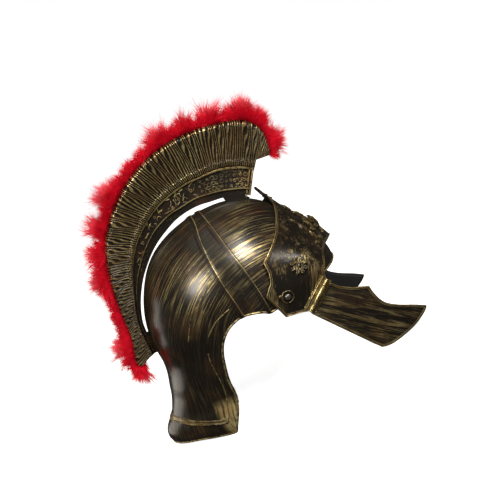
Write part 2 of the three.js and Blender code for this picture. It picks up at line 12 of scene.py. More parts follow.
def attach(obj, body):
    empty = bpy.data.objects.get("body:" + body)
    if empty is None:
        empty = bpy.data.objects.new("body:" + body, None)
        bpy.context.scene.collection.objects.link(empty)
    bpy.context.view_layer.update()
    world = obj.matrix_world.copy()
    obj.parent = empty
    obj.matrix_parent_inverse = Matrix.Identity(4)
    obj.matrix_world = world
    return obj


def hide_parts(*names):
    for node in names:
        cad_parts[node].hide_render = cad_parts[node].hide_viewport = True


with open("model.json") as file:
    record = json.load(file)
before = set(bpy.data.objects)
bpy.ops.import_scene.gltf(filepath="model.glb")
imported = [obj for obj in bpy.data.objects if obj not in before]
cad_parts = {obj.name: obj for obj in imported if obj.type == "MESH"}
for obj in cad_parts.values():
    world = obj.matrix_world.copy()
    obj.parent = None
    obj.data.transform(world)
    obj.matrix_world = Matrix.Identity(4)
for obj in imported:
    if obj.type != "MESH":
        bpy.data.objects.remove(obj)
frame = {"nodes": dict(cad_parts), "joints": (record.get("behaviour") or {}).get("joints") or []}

bl_info = {
    "name": "Legionary helmet looks",
    "version": (1, 0, 0),
    "blender": (4, 5, 0),
    "location": "View3D > Sidebar > Helmet",
    "description": "Smooth gilded shells, bristled crest, feather trim and studio for the packed helmet",
    "category": "Object",
}

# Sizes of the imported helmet: metres, and the slope of the hinge line
HALF_LENGTH = 0.1135
HALF_WIDTH = 0.0835
CROWN = 0.221
PLATE_HALF_WIDTH = 0.0858
CREST_DEPTH = 0.080
GUARD_REACH = 0.100
HINGE_SLOPE = math.radians(32.6)
HINGE_HALF = 0.0195
HINGE_OUT = abs(frame["joints"][0]["pos_m"][1])
HINGE_X = 0.5665 * HALF_LENGTH
HINGE_Z = 0.431 * CROWN
MIDDLE_X = frame["joints"][0]["pos_m"][0] - HINGE_X
# Metres for each share of a side-view point
SIDE_SCALE = np.array([HALF_LENGTH, CROWN])
# Half of the gap beside the hinge line, and where the knuckles part
HINGE_GAP = 0.00015
KNUCKLE_SPLIT = HINGE_HALF * 0.56
# Steps between beads and between the points of a raised line
BEAD_STEP = 0.0017
LINE_STEP = 0.0016
# The panel's bare strip inside its borders
PANEL_MARGIN = 0.0032
# Columns and rows of half the bowl, half the brow plate and one cheek guard
BOWL_GRID = (215, 110)
PLATE_GRID = (150, 90)
GUARD_GRID = (46, 110)
# Second colours of the inside and of the rivets
INSIDE_PALE = (0.024, 0.024, 0.026)
STEEL_STAIN = (0.16, 0.15, 0.14)
# The camera's view, its angles in degrees, and its lens by the photo's pixels
CAMERA_AZIMUTH = -7
CAMERA_ELEVATION = 15
CAMERA_ROLL = 30
CAMERA_DISTANCE = 0.750
CAMERA_TARGET = Vector((MIDDLE_X + 0.0363, 0, 0.152))
SENSOR_WIDTH = 36.0
FOCAL_LENGTH_PIXELS = 655.6
PICTURE_PIXELS = 500
# Lights: name, azimuth, elevation, distance, size, strength
LIGHT_TARGET = Vector((0.02, 0, 0.14))
LIGHTS = [
    ("softbox_right", 30, 46, 1.5, 0.36, 19),
    ("softbox_left", -36, 42, 1.5, 0.42, 13),
    ("top_fill", 10, 78, 1.6, 0.8, 2),
    ("rim_left", -118, 6, 1.6, 0.9, 7),
    ("front_fill", 20, 4, 2.0, 1.2, 1.2),
]
# The brush strokes on the bowl run round this point of the side view
STROKE_PIVOT = (0.036, 0.015)
# Most of the gold is laid round these points of the side view, where the lights' highlights fall on the
# bowl: a painted highlight over the real strokes
HIGHLIGHT_GOLD_PLACES = [(-0.046, 0.166), (0.031, 0.172)]

# Sections of the bowl: height, rear, front, half width as shares, then the exponent of the oval
BOWL_SECTIONS = [
    (-0.02, 1.32, 1.32, 0.985, 1.6),
    (0.015, 1.342, 1.342, 0.987, 1.6),
    (0.054, 1.363, 1.363, 0.988, 1.62),
    (0.095, 1.341, 1.341, 0.98, 1.65),
    (0.127, 1.284, 1.284, 0.962, 1.68),
    (0.152, 1.222, 1.222, 0.95, 1.7),
    (0.19, 1.175, 1.175, 0.952, 1.75),
    (0.24, 1.122, 1.122, 0.965, 1.85),
    (0.3, 1.078, 1.078, 0.975, 1.95),
    (0.362, 1.032, 1.032, 0.982, 2.0),
    (0.43, 1.004, 1.03, 0.992, 2.0),
    (0.5, 0.998, 1.03, 1.0, 2.05),
    (0.577, 0.981, 0.995, 0.993, 2.1),
    (0.65, 0.942, 0.94, 0.955, 2.1),
    (0.715, 0.887, 0.882, 0.893, 2.1),
    (0.778, 0.815, 0.808, 0.81, 2.05),
    (0.835, 0.735, 0.745, 0.7, 2.0),
    (0.885, 0.645, 0.66, 0.585, 2.0),
    (0.93, 0.53, 0.55, 0.45, 2.0),
    (0.965, 0.385, 0.405, 0.31, 2.0),
    (0.988, 0.22, 0.245, 0.17, 2.0),
    (1.0, 0.0, 0.0, 0.0, 2.0),
    (0.988, -0.22, -0.245, -0.17, 2.0),
]
# Lines of the side view: shares of half the length and of the crown's height
RIM = [
    (-1.5, 0.016), (-1.34, 0.016), (-1.12, 0.023), (-0.91, 0.009), (-0.746, 0.0), (-0.7, 0.032),
    (-0.632, 0.09), (-0.579, 0.14), (-0.552, 0.186), (-0.544, 0.24), (-0.526, 0.294), (-0.491, 0.357),
    (-0.456, 0.407), (-0.394, 0.462), (-0.315, 0.502), (-0.244, 0.52), (-0.156, 0.529), (-0.068, 0.52),
    (0.03, 0.498), (0.1, 0.475), (0.18, 0.47), (0.6, 0.462), (1.3, 0.436),
]
REAR_RIB = [
    (-0.04, 1.05), (-0.041, 0.99), (-0.103, 0.9), (-0.138, 0.8), (-0.147, 0.697), (-0.138, 0.597),
    (-0.13, 0.4),
]
FRONT_RIB = [
    (0.055, 1.05), (0.055, 0.99), (0.064, 0.878), (0.073, 0.796), (0.09, 0.692), (0.099, 0.579),
    (0.096, 0.4),
]
SIDE_CREASE = [(-0.165, 0.76), (-0.39, 0.69), (-0.535, 0.64), (-0.67, 0.54)]
EAR_RIDGE = [(-0.2, 0.598), (-0.36, 0.575), (-0.49, 0.525)]
NECK_RIDGE = [
    (-1.5, 0.152), (-1.2, 0.145), (-1.04, 0.122), (-0.89, 0.1), (-0.752, 0.088), (-0.69, 0.14),
    (-0.625, 0.235), (-0.598, 0.39), (-0.572, 0.446),
]
# Sections of the brow plate: height, front, half width added, how far the plan is a prow
PLATE_SECTIONS = [
    (0.33, 1.122, 0.0, 1.0),
    (0.45, 1.122, 0.0, 1.0),
    (0.529, 1.122, 0.0, 1.0),
    (0.582, 1.086, -0.006, 0.9),
    (0.62, 1.051, -0.016, 0.7),
    (0.665, 0.998, -0.043, 0.45),
    (0.705, 0.941, -0.078, 0.25),
    (0.747, 0.888, -0.123, 0.1),
    (0.787, 0.84, -0.178, 0.0),
    (0.851, 0.779, -0.293, 0.0),
    (0.91, 0.7225, -0.43, 0.0),
    (0.964, 0.672, -0.59, 0.0),
    (1.0, 0.6, -0.72, 0.0),
]
PROW_PLAN = [
    (1.0, 0.0), (0.94, 0.22), (0.865, 0.43), (0.765, 0.71), (0.69, 0.925), (0.645, 0.985), (0.5, 1.0),
    (0.25, 1.0), (0.0, 1.0),
]
PLATE_TOP = [
    (0.135, 0.556), (0.24, 0.606), (0.271, 0.647), (0.28, 0.697), (0.425, 0.733), (0.54, 0.767),
    (0.62, 0.801), (0.68, 0.833), (0.724, 0.862), (0.729, 0.887), (0.707, 0.914), (0.69, 0.937),
    (0.672, 0.958),
]
PLATE_EYE = [
    (1.122, 0.529), (1.069, 0.541), (1.007, 0.55), (0.937, 0.5565), (0.866, 0.554), (0.796, 0.538),
    (0.73, 0.518),
]
PLATE_CORNER = [(0.36, 0.397), (0.205, 0.421)]
RIVET = (0.312, 0.503)
# The rivet head's outline: radius, then height
RIVET_PROFILE = [
    (0.0, 0.0021), (0.0012, 0.00205), (0.0022, 0.0018), (0.003, 0.0013), (0.0035, 0.0007),
    (0.0036, 0.0),
]
ROSETTE = (0.545, 0.6)
# Leaves on the forehead: how far round from the middle, height, heading from rearward, size
FOREHEAD_LEAVES = [
    (0.0, 0.6, 90, 1.25),
    (0.0, 0.675, 90, 1.15),
    (0.0, 0.745, 90, 1.0),
    (0.02, 0.615, 58, 1.25),
    (0.03, 0.605, 25, 1.2),
    (0.03, 0.6, -6, 1.05),
    (0.03, 0.69, 55, 1.1),
    (0.04, 0.68, 20, 1.1),
    (0.03, 0.755, 48, 0.9),
    (0.05, 0.745, 12, 0.9),
    (0.16, 0.64, 62, 0.95),
    (0.17, 0.63, 24, 0.95),
    (0.2, 0.585, 18, 0.9),
    (0.3, 0.6, 70, 0.75),
    (0.31, 0.66, 80, 0.75),
    (0.3, 0.72, 62, 0.7),
    (0.33, 0.585, 30, 0.7),
    (0.34, 0.63, 128, 0.6),
    (0.35, 0.69, 132, 0.6),
]
# Crest stations from nape to brow: angle, x and z shares of the inner edge, depths as shares
CREST_STATIONS = [
    (192, -1.02, 0.497, 0.02, 0.05, 0.22),
    (193, -1.0, 0.53, 0.025, 0.055, 0.33),
    (188, -0.967, 0.648, 0.035, 0.06, 0.235),
    (178, -0.886, 0.747, 0.05, 0.08, 0.29),
    (166, -0.754, 0.843, 0.085, 0.14, 0.415),
    (154, -0.604, 0.916, 0.105, 0.22, 0.56),
    (142, -0.456, 0.969, 0.12, 0.275, 0.68),
    (130, -0.306, 1.003, 0.135, 0.31, 0.77),
    (118, -0.164, 1.026, 0.12, 0.33, 0.83),
    (106, -0.026, 1.033, 0.1, 0.35, 0.89),
    (94, 0.103, 1.0285, 0.11, 0.37, 0.944),
    (82, 0.222, 1.0136, 0.11, 0.39, 0.99),
    (70, 0.336, 1.0, 0.1, 0.41, 1.006),
    (58, 0.4485, 0.979, 0.09, 0.41, 1.036),
    (54, 0.523, 0.9606, 0.09, 0.4, 1.01),
    (51, 0.586, 0.939, 0.09, 0.39, 0.935),
    (43, 0.592, 0.936, 0.09, 0.39, 0.77),
    (36, 0.598, 0.933, 0.09, 0.38, 0.62),
]
# The top of the panel's front frame, where the brush's underside meets it
BRUSH_CORNER = (0.792, 1.08)
PANEL_END = 15 / 17
FRONT_FOOT = [
    (0.35, 1.01), (0.4485, 0.99), (0.523, 0.97), (0.575, 0.93), (0.53, 0.905), (0.53, 0.87),
    (0.42, 0.9), (0.36, 0.95),
]
REAR_FOOT = [(-1.045, 0.5), (-1.02, 0.53), (-1.005, 0.6), (-0.93, 0.6), (-0.95, 0.49)]
# From the hinge round the guard: shares of its reach and of the hinge's height
GUARD_OUTLINE = [
    (0.174, 0.047), (0.25, -0.05), (0.36, -0.14), (0.525, -0.232), (0.54, -0.353), (0.589, -0.49),
    (0.704, -0.608), (0.876, -0.73), (1.0, -0.827), (0.98, -0.86), (0.906, -0.909), (0.774, -0.963),
    (0.606, -0.993), (0.48, -1.0), (0.4, -0.985), (0.338, -0.959), (0.269, -0.854), (-0.153, -0.16),
]


def spline(values, place):
    """Smooth values through evenly numbered knots, read at the given places."""
    knots = np.asarray(values, float)
    place = np.asarray(place, float)
    low = np.clip(np.floor(place).astype(int), 0, len(knots) - 2)
    mix = (place - low)[..., None] if knots.ndim > 1 else place - low

    def at(shift):
        return knots[np.clip(low + shift, 0, len(knots) - 1)]

    a, b, c, d = at(-1), at(0), at(1), at(2)
    return b + 0.5 * mix * (c - a + mix * (2 * a - 5 * b + 4 * c - d + mix * (3 * (b - c) + d - a)))


def smooth_line(points, count):
    """A smooth line through the points, with many points at even steps."""
    line = spline(points, np.linspace(0, len(points) - 1, count * 4))
    return even_line(line, count)


def even_line(line, count, weight=None):
    """The line with its points set at even steps, or at steps of an even weight."""
    line = np.asarray(line, float)
    steps = np.linalg.norm(np.diff(line, axis=0), axis=1)
    if weight is not None:
        steps = steps * (weight[1:] + weight[:-1]) / 2
    length = np.concatenate([[0], np.cumsum(steps)])
    at = np.linspace(0, length[-1], count)
    return np.stack([np.interp(at, length, line[:, k]) for k in range(line.shape[1])], axis=1)


def sharp_line(points):
    """The straight pieces between the points, with many steps."""
    points = np.asarray(points, float)
    dense = [a + (b - a) * k / 12 for a, b in zip(points[:-1], points[1:]) for k in range(12)]
    return np.array([*dense, points[-1]])


def nearest(points, line):
    """Distance from each point to a densely stepped line."""
    parts = np.array_split(points, len(points) // 4000 + 1)
    gaps = (part[:, None, :] - line[None, :, :] for part in parts)
    return np.concatenate([np.sqrt((gap**2).sum(-1)).min(1) for gap in gaps])


def ridge(distance, width, soft):
    """1 within a band and 0 outside it, with a soft shoulder."""
    t = np.clip((width / 2 + soft - np.abs(distance)) / soft, 0, 1)
    return t * t * (3 - 2 * t)


def power(value, exponent):
    return np.sign(value) * np.abs(value) ** exponent


SECTION_PLACES = np.linspace(0, len(BOWL_SECTIONS) - 2, 4000)
SECTION_HEIGHTS = np.maximum.accumulate(spline([row[0] for row in BOWL_SECTIONS], SECTION_PLACES))


def bowl_place(height):
    """Where a height lies in the numbered sections."""
    return np.interp(height, SECTION_HEIGHTS, SECTION_PLACES)


def bowl_plan(place):
    """The middle and the reach of the bowl's oval at a place in its sections, and the section's row."""
    row = spline(BOWL_SECTIONS, place)
    return (row[..., 2] - row[..., 1]) / 2, (row[..., 2] + row[..., 1]) / 2, row


def bowl_point(turn, place):
    """The bowl's outer face at a turn round it and a place in its sections."""
    middle, reach, row = bowl_plan(place)
    oval = 2 / row[..., 4]
    x = (middle + reach * power(np.cos(turn), oval)) * HALF_LENGTH
    y = row[..., 3] * HALF_WIDTH * power(np.sin(turn), oval)
    return np.stack([x + MIDDLE_X, y, row[..., 0] * CROWN], axis=-1)


def bowl_turn(x, height):
    """The turn of a point of the side view, or past the silhouette the nearest end."""
    middle, reach, row = bowl_plan(bowl_place(height))
    return np.arccos(power(np.clip((x - middle) / reach, -1, 1), row[..., 4] / 2))


def on_bowl(line):
    """The part of a side-view line that lies on the bowl, as places on the left half."""
    middle, reach, _ = bowl_plan(bowl_place(line[:, 1]))
    line = line[np.abs((line[:, 0] - middle) / reach) < 1]
    return bowl_point(bowl_turn(line[:, 0], line[:, 1]), bowl_place(line[:, 1]))


def beside(line, distance):
    """A side-view line of shares moved sideways by a distance."""
    ahead = np.gradient(line * SIDE_SCALE, axis=0)
    across = np.stack([-ahead[:, 1], ahead[:, 0]], axis=1) / np.linalg.norm(ahead, axis=1)[:, None]
    return line + across * distance / SIDE_SCALE


def rib_x(line, heights):
    """The x of a rib at each height share, in metres from the bowl's middle."""
    points = smooth_line(line, 200)[::-1]
    return np.interp(heights, points[:, 1], points[:, 0]) * HALF_LENGTH


PROW = even_line(spline(PROW_PLAN, np.linspace(0, len(PROW_PLAN) - 1, 400)), 200)


def plate_point(turn, height):
    """The brow plate's outer face, turn 0 at the middle of the brow and 1 at the wing's rear."""
    place = np.interp(height, [row[0] for row in PLATE_SECTIONS], np.arange(len(PLATE_SECTIONS)))
    row = spline(PLATE_SECTIONS, place)
    front, wide, prow = (row[..., k] for k in (1, 2, 3))
    flat_x, flat_y = (np.interp(turn, np.linspace(0, 1, 200), PROW[:, k]) for k in (0, 1))
    x = np.cos(turn * math.pi / 2) * (1 - prow) + flat_x * prow
    y = np.sin(turn * math.pi / 2) * (1 - prow) + flat_y * prow
    half = PLATE_HALF_WIDTH + wide * HALF_WIDTH
    return np.stack([x * (front * HALF_LENGTH) + MIDDLE_X, y * half, height * CROWN], axis=-1)


def plate_turn(x, height):
    """The turn of a side-view point on the brow plate."""
    turns = np.linspace(0, 1, 400)
    found = []
    for share, level in zip(np.atleast_1d(x), np.atleast_1d(height)):
        line = plate_point(turns, np.full(400, level))[:, 0]
        found.append(np.interp(-(share * HALF_LENGTH + MIDDLE_X), -line, turns))
    return np.array(found)


def plate_frame(turn, height, side):
    """A place on the brow plate, its X to the wearer's left or rear, its Y up and its Z out."""
    steps = np.array([(turn, height), (turn + 0.02, height), (turn, height + 0.004)])
    at, ahead, above = (Vector(point) for point in plate_point(steps[:, 0], steps[:, 1]))
    along = (ahead - at).normalized()
    out = along.cross(above - at).normalized()
    up = out.cross(along)
    if side < 0:
        at, along, up, out = (Vector((v.x, -v.y, v.z)) for v in (at, along, up, out))
        along = -along
    if out.x + abs(out.y) < 0:
        out = -out
    return Matrix.Translation(at) @ Matrix((along, up, out)).transposed().to_4x4()


def crest_row(turn):
    return spline(CREST_STATIONS, np.asarray(turn) * (len(CREST_STATIONS) - 1))


def crest_point(turn, depth):
    """A point of the crest's middle plane: how far round, then how far out in metres."""
    row = crest_row(turn)
    angle = np.radians(row[..., 0])
    x = row[..., 1] * HALF_LENGTH + np.cos(angle) * depth + MIDDLE_X
    return np.stack([x, row[..., 2] * CROWN + np.sin(angle) * depth], axis=-1)


def rim_depth(turn):
    return crest_row(turn)[..., 5] * CREST_DEPTH


def panel_depths(row):
    """The depths of the panel's lower and upper borders."""
    return row[..., 3] * CREST_DEPTH, np.maximum(row[..., 4], row[..., 3] + 0.04) * CREST_DEPTH


def cut_depth(turn, corner, tip):
    """How deep the slanted underside of the brush lies at each turn past the panel's end."""
    start = crest_point(turn, 0.0)
    way = crest_point(turn, 1.0) - start
    edge = tip - corner
    cross = way[..., 0] * edge[1] - way[..., 1] * edge[0]
    cross = np.where(np.abs(cross) < 1e-6, 1e-6, cross)
    gap = corner - start
    depth = (gap[..., 0] * edge[1] - gap[..., 1] * edge[0]) / cross
    return np.where(turn > PANEL_END, np.clip(depth, 0, 0.2), 0.0)


def hinge_point(along, drop=0.0):
    """A side-view point beside the hinge line: along it, then square to it."""
    return (
        HINGE_X + math.cos(HINGE_SLOPE) * along + math.sin(HINGE_SLOPE) * drop + MIDDLE_X,
        HINGE_Z + math.sin(HINGE_SLOPE) * along - math.cos(HINGE_SLOPE) * drop,
    )


def packed(shares):
    """The x and z of a side-view point given in shares."""
    return np.array([shares[0] * HALF_LENGTH + MIDDLE_X, shares[1] * CROWN])


def grid(across, up):
    """A flat grid mesh with its vertices' shares across and up."""
    bm = bmesh.new()
    bmesh.ops.create_grid(bm, x_segments=across, y_segments=up, size=0.5)
    shares = np.array([(v.co.x + 0.5, v.co.y + 0.5) for v in bm.verts])
    return bm, shares[:, 0], shares[:, 1]


def set_places(bm, points):
    for vert, point in zip(bm.verts, points):
        vert.co = point


def set_side_view(bm, plane, y):
    set_places(bm, np.stack([plane[:, 0], y, plane[:, 1]], axis=1))


def set_layer(bm, name, values):
    layer = bm.verts.layers.float.new(name)
    for vert, value in zip(bm.verts, values):
        vert[layer] = float(value)


def face_out(bm):
    bmesh.ops.recalc_face_normals(bm, faces=bm.faces)


def settle(bm, merge=1e-6):
    bmesh.ops.remove_doubles(bm, verts=bm.verts, dist=merge)
    bmesh.ops.dissolve_degenerate(bm, edges=bm.edges, dist=merge / 10)
    face_out(bm)


def close_open_edges(bm):
    return bmesh.ops.holes_fill(bm, edges=[edge for edge in bm.edges if edge.is_boundary], sides=0)


def raise_faces(bm, axis):
    """Turns the faces outward, then moves each vertex along its normal by the rise stored on it."""
    bm.normal_update()
    if max(bm.verts, key=lambda vert: vert.co[axis]).normal[axis] < 0:
        bmesh.ops.reverse_faces(bm, faces=bm.faces)
        bm.normal_update()
    layer = bm.verts.layers.float["rise"]
    for vert in bm.verts:
        vert.co += vert.normal * vert[layer]


def beaded_edge(edge, place, width):
    """The rise of a doubled line along an edge: a rolled outer one and a lower one inside it."""
    return 0.0008 * ridge(edge - place, width, 0.0006) + 0.0006 * ridge(edge - 0.0025, 0.0004, 0.0005)


def finish_piece(bm, name, finish, body, smooth=True):
    """Makes the mesh an object that rides on a body and takes a finish."""
    mesh = small_mesh(name, bm)
    if smooth:
        mesh.shade_smooth()
    mesh.materials.append(finish_of(finish))
    piece = bpy.data.objects.new(name, mesh)
    bpy.context.scene.collection.objects.link(piece)
    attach(piece, body)
    return piece


def wall(piece, thickness):
    """Gives a sheet its wall inward, with the bare finish on the inside."""
    piece.data.materials.append(finish_of("bare_inside"))
    solid = piece.modifiers.new("wall", "SOLIDIFY")
    solid.thickness = thickness
    solid.offset = -1.0
    solid.use_even_offset = False
    solid.material_offset = 1


def small_mesh(name, bm):
    mesh = bpy.data.meshes.new(name)
    bm.to_mesh(mesh)
    bm.free()
    return mesh


def add_mesh(bm, part, matrix):
    """Adds a small finished mesh to a larger one at a place."""
    part.transform(matrix)
    bm.from_mesh(part)
    part.transform(matrix.inverted())


def drop_meshes(*meshes):
    for mesh in meshes:
        bpy.data.meshes.remove(mesh)


def ring_mesh(radius, thick, turn, steps, sides):
    """A ring, or an open arc of one, of round section in the XZ plane."""
    closed = turn == 360
    bm = bmesh.new()
    bmesh.ops.create_circle(bm, cap_ends=False, radius=thick, segments=sides)
    bmesh.ops.translate(bm, verts=bm.verts, vec=(radius, 0, 0))
    bmesh.ops.spin(
        bm,
        geom=bm.verts[:] + bm.edges[:],
        cent=(0, 0, 0),
        axis=(0, 1, 0),
        angle=math.radians(turn),
        steps=steps,
        use_merge=closed,
    )
    if not closed:
        bmesh.ops.holes_fill(bm, edges=bm.edges, sides=sides)
    settle(bm, 1e-7)
    return small_mesh("ring", bm)


def tube_between(bm, start, end, radius, sides=24, bevel=0.0004):
    """A round bar with softened ends."""
    start, end = Vector(start), Vector(end)
    axis = end - start
    turned = axis.to_track_quat("Z", "Y").to_matrix().to_4x4()
    part = bmesh.new()
    bmesh.ops.create_cone(
        part, cap_ends=True, segments=sides, radius1=radius, radius2=radius, depth=axis.length
    )
    rims = [e for e in part.edges if len({round(v.co.z, 6) for v in e.verts}) == 1]
    bmesh.ops.bevel(
        part, geom=rims, offset=bevel, segments=2, profile=0.5, affect="EDGES", material=-1
    )
    mesh = small_mesh("bar", part)
    add_mesh(bm, mesh, Matrix.Translation((start + end) / 2) @ turned)
    drop_meshes(mesh)


def leaf_mesh(length, width, height):
    """One leaf lying on the XZ plane from the origin along X, pointed at both ends, its middle grooved."""
    bm, u, v = grid(10, 10)
    across = v * 2 - 1
    lobes = 1 + 0.14 * np.cos(u * math.tau * 3)
    shape = np.sin(np.clip(u, 0, 1) * math.pi) ** 0.65 * lobes
    groove = 1 - 0.55 * np.exp(-((across / 0.22) ** 2))
    crown = height * np.sqrt(np.clip(1 - across**2, 0, 1)) * shape * groove * (0.75 + 0.5 * u)
    set_places(bm, np.stack([u * length, crown, across * width / 2 * shape], axis=1))
    settle(bm)
    bmesh.ops.triangulate(bm, faces=close_open_edges(bm)["faces"])
    face_out(bm)
    return small_mesh("leaf", bm)


def coons(top, bottom, left, right, across, up):
    """Points filling the space between four lines of a plane, as shares across and up."""
    u, v = np.meshgrid(np.linspace(0, 1, across + 1), np.linspace(0, 1, up + 1))
    u, v = u[..., None], v[..., None]
    t, b = top[None, :, :], bottom[None, :, :]
    le, ri = left[:, None, :], right[:, None, :]
    corners = (
        (1 - u) * (1 - v) * bottom[0] + u * (1 - v) * bottom[-1] + (1 - u) * v * top[0] + u * v * top[-1]
    )
    return (1 - v) * b + v * t + (1 - u) * le + u * ri - corners


def new_curve(name):
    curve = bpy.data.curves.new(name, "CURVE")
    curve.dimensions = "3D"
    return curve


def curve_mesh(curve):
    """The mesh of a curve, made through an object that is thrown away."""
    holder = bpy.data.objects.new(curve.name, curve)
    bpy.context.scene.collection.objects.link(holder)
    depsgraph = bpy.context.evaluated_depsgraph_get()
    mesh = bpy.data.meshes.new_from_object(holder.evaluated_get(depsgraph))
    bpy.data.objects.remove(holder)
    return mesh


def raised_lines(name, lines, radius):
    """Thin round lines half sunk in the bowl's face."""
    curve = new_curve(name)
    curve.bevel_depth = radius
    curve.bevel_resolution = 1
    curve.use_fill_caps = True
    for points in lines:
        length = np.linalg.norm(np.diff(points, axis=0), axis=1).sum()
        points = even_line(points, int(length / LINE_STEP))
        made = curve.splines.new("POLY")
        made.points.add(len(points) - 1)
        made.points.foreach_set("co", np.column_stack([points, np.ones(len(points))]).ravel())
    bm = bmesh.new()
    mesh = curve_mesh(curve)
    bm.from_mesh(mesh)
    drop_meshes(mesh)
    settle(bm)
    finish_piece(bm, name, "gilded_trim", "helmet")


class Socket:
    """One value in a material, with the operators that the finishes are written in."""

    def __init__(self, finish, link):
        self.finish = finish
        self.link = link

    def math(self, operation, other=0.0):
        return self.finish.math(operation, self, other)

    def __add__(self, other):
        return self.math("ADD", other)

    def __mul__(self, other):
        return self.math("MULTIPLY", other)

    def __sub__(self, other):
        return self.math("SUBTRACT", other)

    def __rsub__(self, other):
        return self.finish.math("SUBTRACT", other, self)

    def __pow__(self, other):
        return self.math("POWER", other)

    def smooth(self, low, high):
        """0 below low, 1 above high, soft between."""
        return self.finish.node(
            "ShaderNodeMapRange",
            {"interpolation_type": "SMOOTHSTEP", "clamp": True},
            {"Value": self, "From Min": low, "From Max": high, "To Min": 0.0, "To Max": 1.0},
        )


class Finish:
    """A material whose nodes are added by one method."""

    def __init__(self, name):
        self.material = bpy.data.materials.new(name)
        self.material.use_nodes = True
        self.tree = self.material.node_tree
        self.shader = self.tree.nodes["Principled BSDF"]
        self.place = self.node("ShaderNodeTexCoord", output="Object")

    def node(self, kind, settings=None, values=None, output=0):
        made = self.tree.nodes.new(kind)
        for key, value in (settings or {}).items():
            setattr(made, key, value)
        for key, value in (values or {}).items():
            self.put(made.inputs[key], value)
        return Socket(self, made.outputs[output])

    def put(self, socket, value):
        if isinstance(value, Socket):
            self.tree.links.new(value.link, socket)
        elif socket.type == "RGBA":
            socket.default_value = (*value, 1.0)
        else:
            socket.default_value = value

    def set(self, **values):
        for key, value in values.items():
            self.put(self.shader.inputs[key.replace("_", " ")], value)

    def math(self, operation, first, second):
        return self.node("ShaderNodeMath", {"operation": operation}, {0: first, 1: second})

    def axes(self):
        split = self.node("ShaderNodeSeparateXYZ", None, {0: self.place}).link.node
        return [Socket(self, output) for output in split.outputs]

    def noise(self, scale, detail=2.0, roughness=0.5, vector=None):
        values = {"Vector": vector or self.place, "Scale": scale, "Detail": detail, "Roughness": roughness}
        return self.node("ShaderNodeTexNoise", None, values)

    def strokes(self, x, y, z, roughness=0.55):
        """Noise drawn out into strokes."""
        vector = self.node("ShaderNodeCombineXYZ", None, {0: x, 1: y, 2: z})
        return self.noise(1.0, 3.0, roughness, vector)

    def wear(self, wisp_scale, patch_scale, low, high):
        """Fine wisps, and broad patches between two levels of their noise."""
        return self.noise(wisp_scale, 3.0, 0.6), self.noise(patch_scale).smooth(low, high)

    def layer(self, name):
        """A number stored on the piece's own vertices."""
        return self.node("ShaderNodeAttribute", {"attribute_name": name}, None, output=2)

    def blend(self, factor, first, second):
        return self.node(
            "ShaderNodeMix", {"data_type": "RGBA"}, {0: factor, 6: first, 7: second}, output=2
        )

    def bump(self, height, distance, strength):
        values = {"Height": height, "Distance": distance, "Strength": strength}
        self.set(Normal=self.node("ShaderNodeBump", None, values))


def gild(finish, look, mask, height, distance=0.0003, paint=0.0, gloss=0.45):
    """Glossy black plastic, dry-brushed gold where the mask is 1 and thick gold paint where paint is."""
    mask = mask.math("MINIMUM", 1.0).math("MAXIMUM", 0.0)
    tint = finish.noise(55.0, 3.0, 0.6).smooth(0.38, 0.62)
    wash = finish.noise(38.0).smooth(0.45, 0.8) * 0.6
    bare = finish.blend(wash, look.black, look.brown)
    finish.set(
        Base_Color=finish.blend(mask, bare, finish.blend(tint, look.gold, look.old_gold)),
        Metallic=mask * (1.0 - paint),
        Roughness=mask * 0.08 + 0.2 + finish.noise(300.0) * 0.06,
        Specular_IOR_Level=gloss,
    )
    finish.bump(height, distance, 0.25)


def line_at(distance, place, half, soft):
    """1 on a thin line at a distance, fading over its soft edges."""
    return 1.0 - (distance - place).math("ABSOLUTE").smooth(half, half + soft)


def bowl_finish(finish, look):
    """Long brush strokes that run over the bowl and down the neck, densest round the two spots where the
    lights' highlights fall, which is a painted highlight, and thin gold on every raised edge.
    """
    x, y, z = finish.axes()

    def away(place):
        """The side-view distance from a place."""
        off_x = x - place[0]
        off_z = z - place[1]
        return (off_x * off_x + off_z * off_z) ** 0.5

    angle = finish.math("ARCTAN2", z - STROKE_PIVOT[1], x - STROKE_PIVOT[0])
    across = away(STROKE_PIVOT) - y.math("ABSOLUTE") + finish.noise(24.0) * 0.005
    fine = finish.strokes(across * 1000.0, y * 20.0, angle * 4.0, 0.6)
    broad = finish.strokes(across * 260.0, y * 20.0, angle * 3.0)
    patch = finish.noise(15.0).smooth(0.36, 0.62)
    streak = (fine * 0.7 + broad * 0.3).smooth(0.5, 0.61)
    corner = (1.0 - z.smooth(0.03, 0.045)) * x.smooth(-0.098, -0.088)
    # Real rubbing at the neck's lower corner, plus gold laid thickest round the spots where the lights'
    # highlights fall: a painted highlight.
    rubbed_and_highlight = corner * 0.5
    for place in HIGHLIGHT_GOLD_PLACES:
        rubbed_and_highlight = rubbed_and_highlight + (1.0 - away(place).smooth(0.01, 0.046))
    # Strokes everywhere, thickest on the painted highlight spots.
    worn_and_highlight = streak * (patch * 0.09 + 0.03 + rubbed_and_highlight * 0.75)
    thick = corner * broad.smooth(0.34, 0.56)
    rib = finish.layer("rib_mm")
    rib_dark = 1.0 - line_at(rib, 0.0, 1.6, 0.5) * 0.8
    band = line_at(finish.layer("neck_mm"), 0.0, 1.2, 0.6) * (1.0 - z.smooth(0.036, 0.044))
    lines = (line_at(rib, 1.8, 0.2, 0.5) * 0.6 + band * 0.45) * fine.smooth(0.32, 0.54)
    mask = worn_and_highlight * rib_dark + lines + thick * 0.75
    gild(finish, look, mask, fine * 0.5 + broad * 0.5, paint=thick * 0.6)


def trim_finish(finish, look):
    """Raised lines, most of their gold still on."""
    wisp, patch = finish.wear(300.0, 30.0, 0.36, 0.6)
    gild(finish, look, wisp.smooth(0.34, 0.58) * (patch * 0.6 + 0.35), wisp, 0.0001, 0.25)


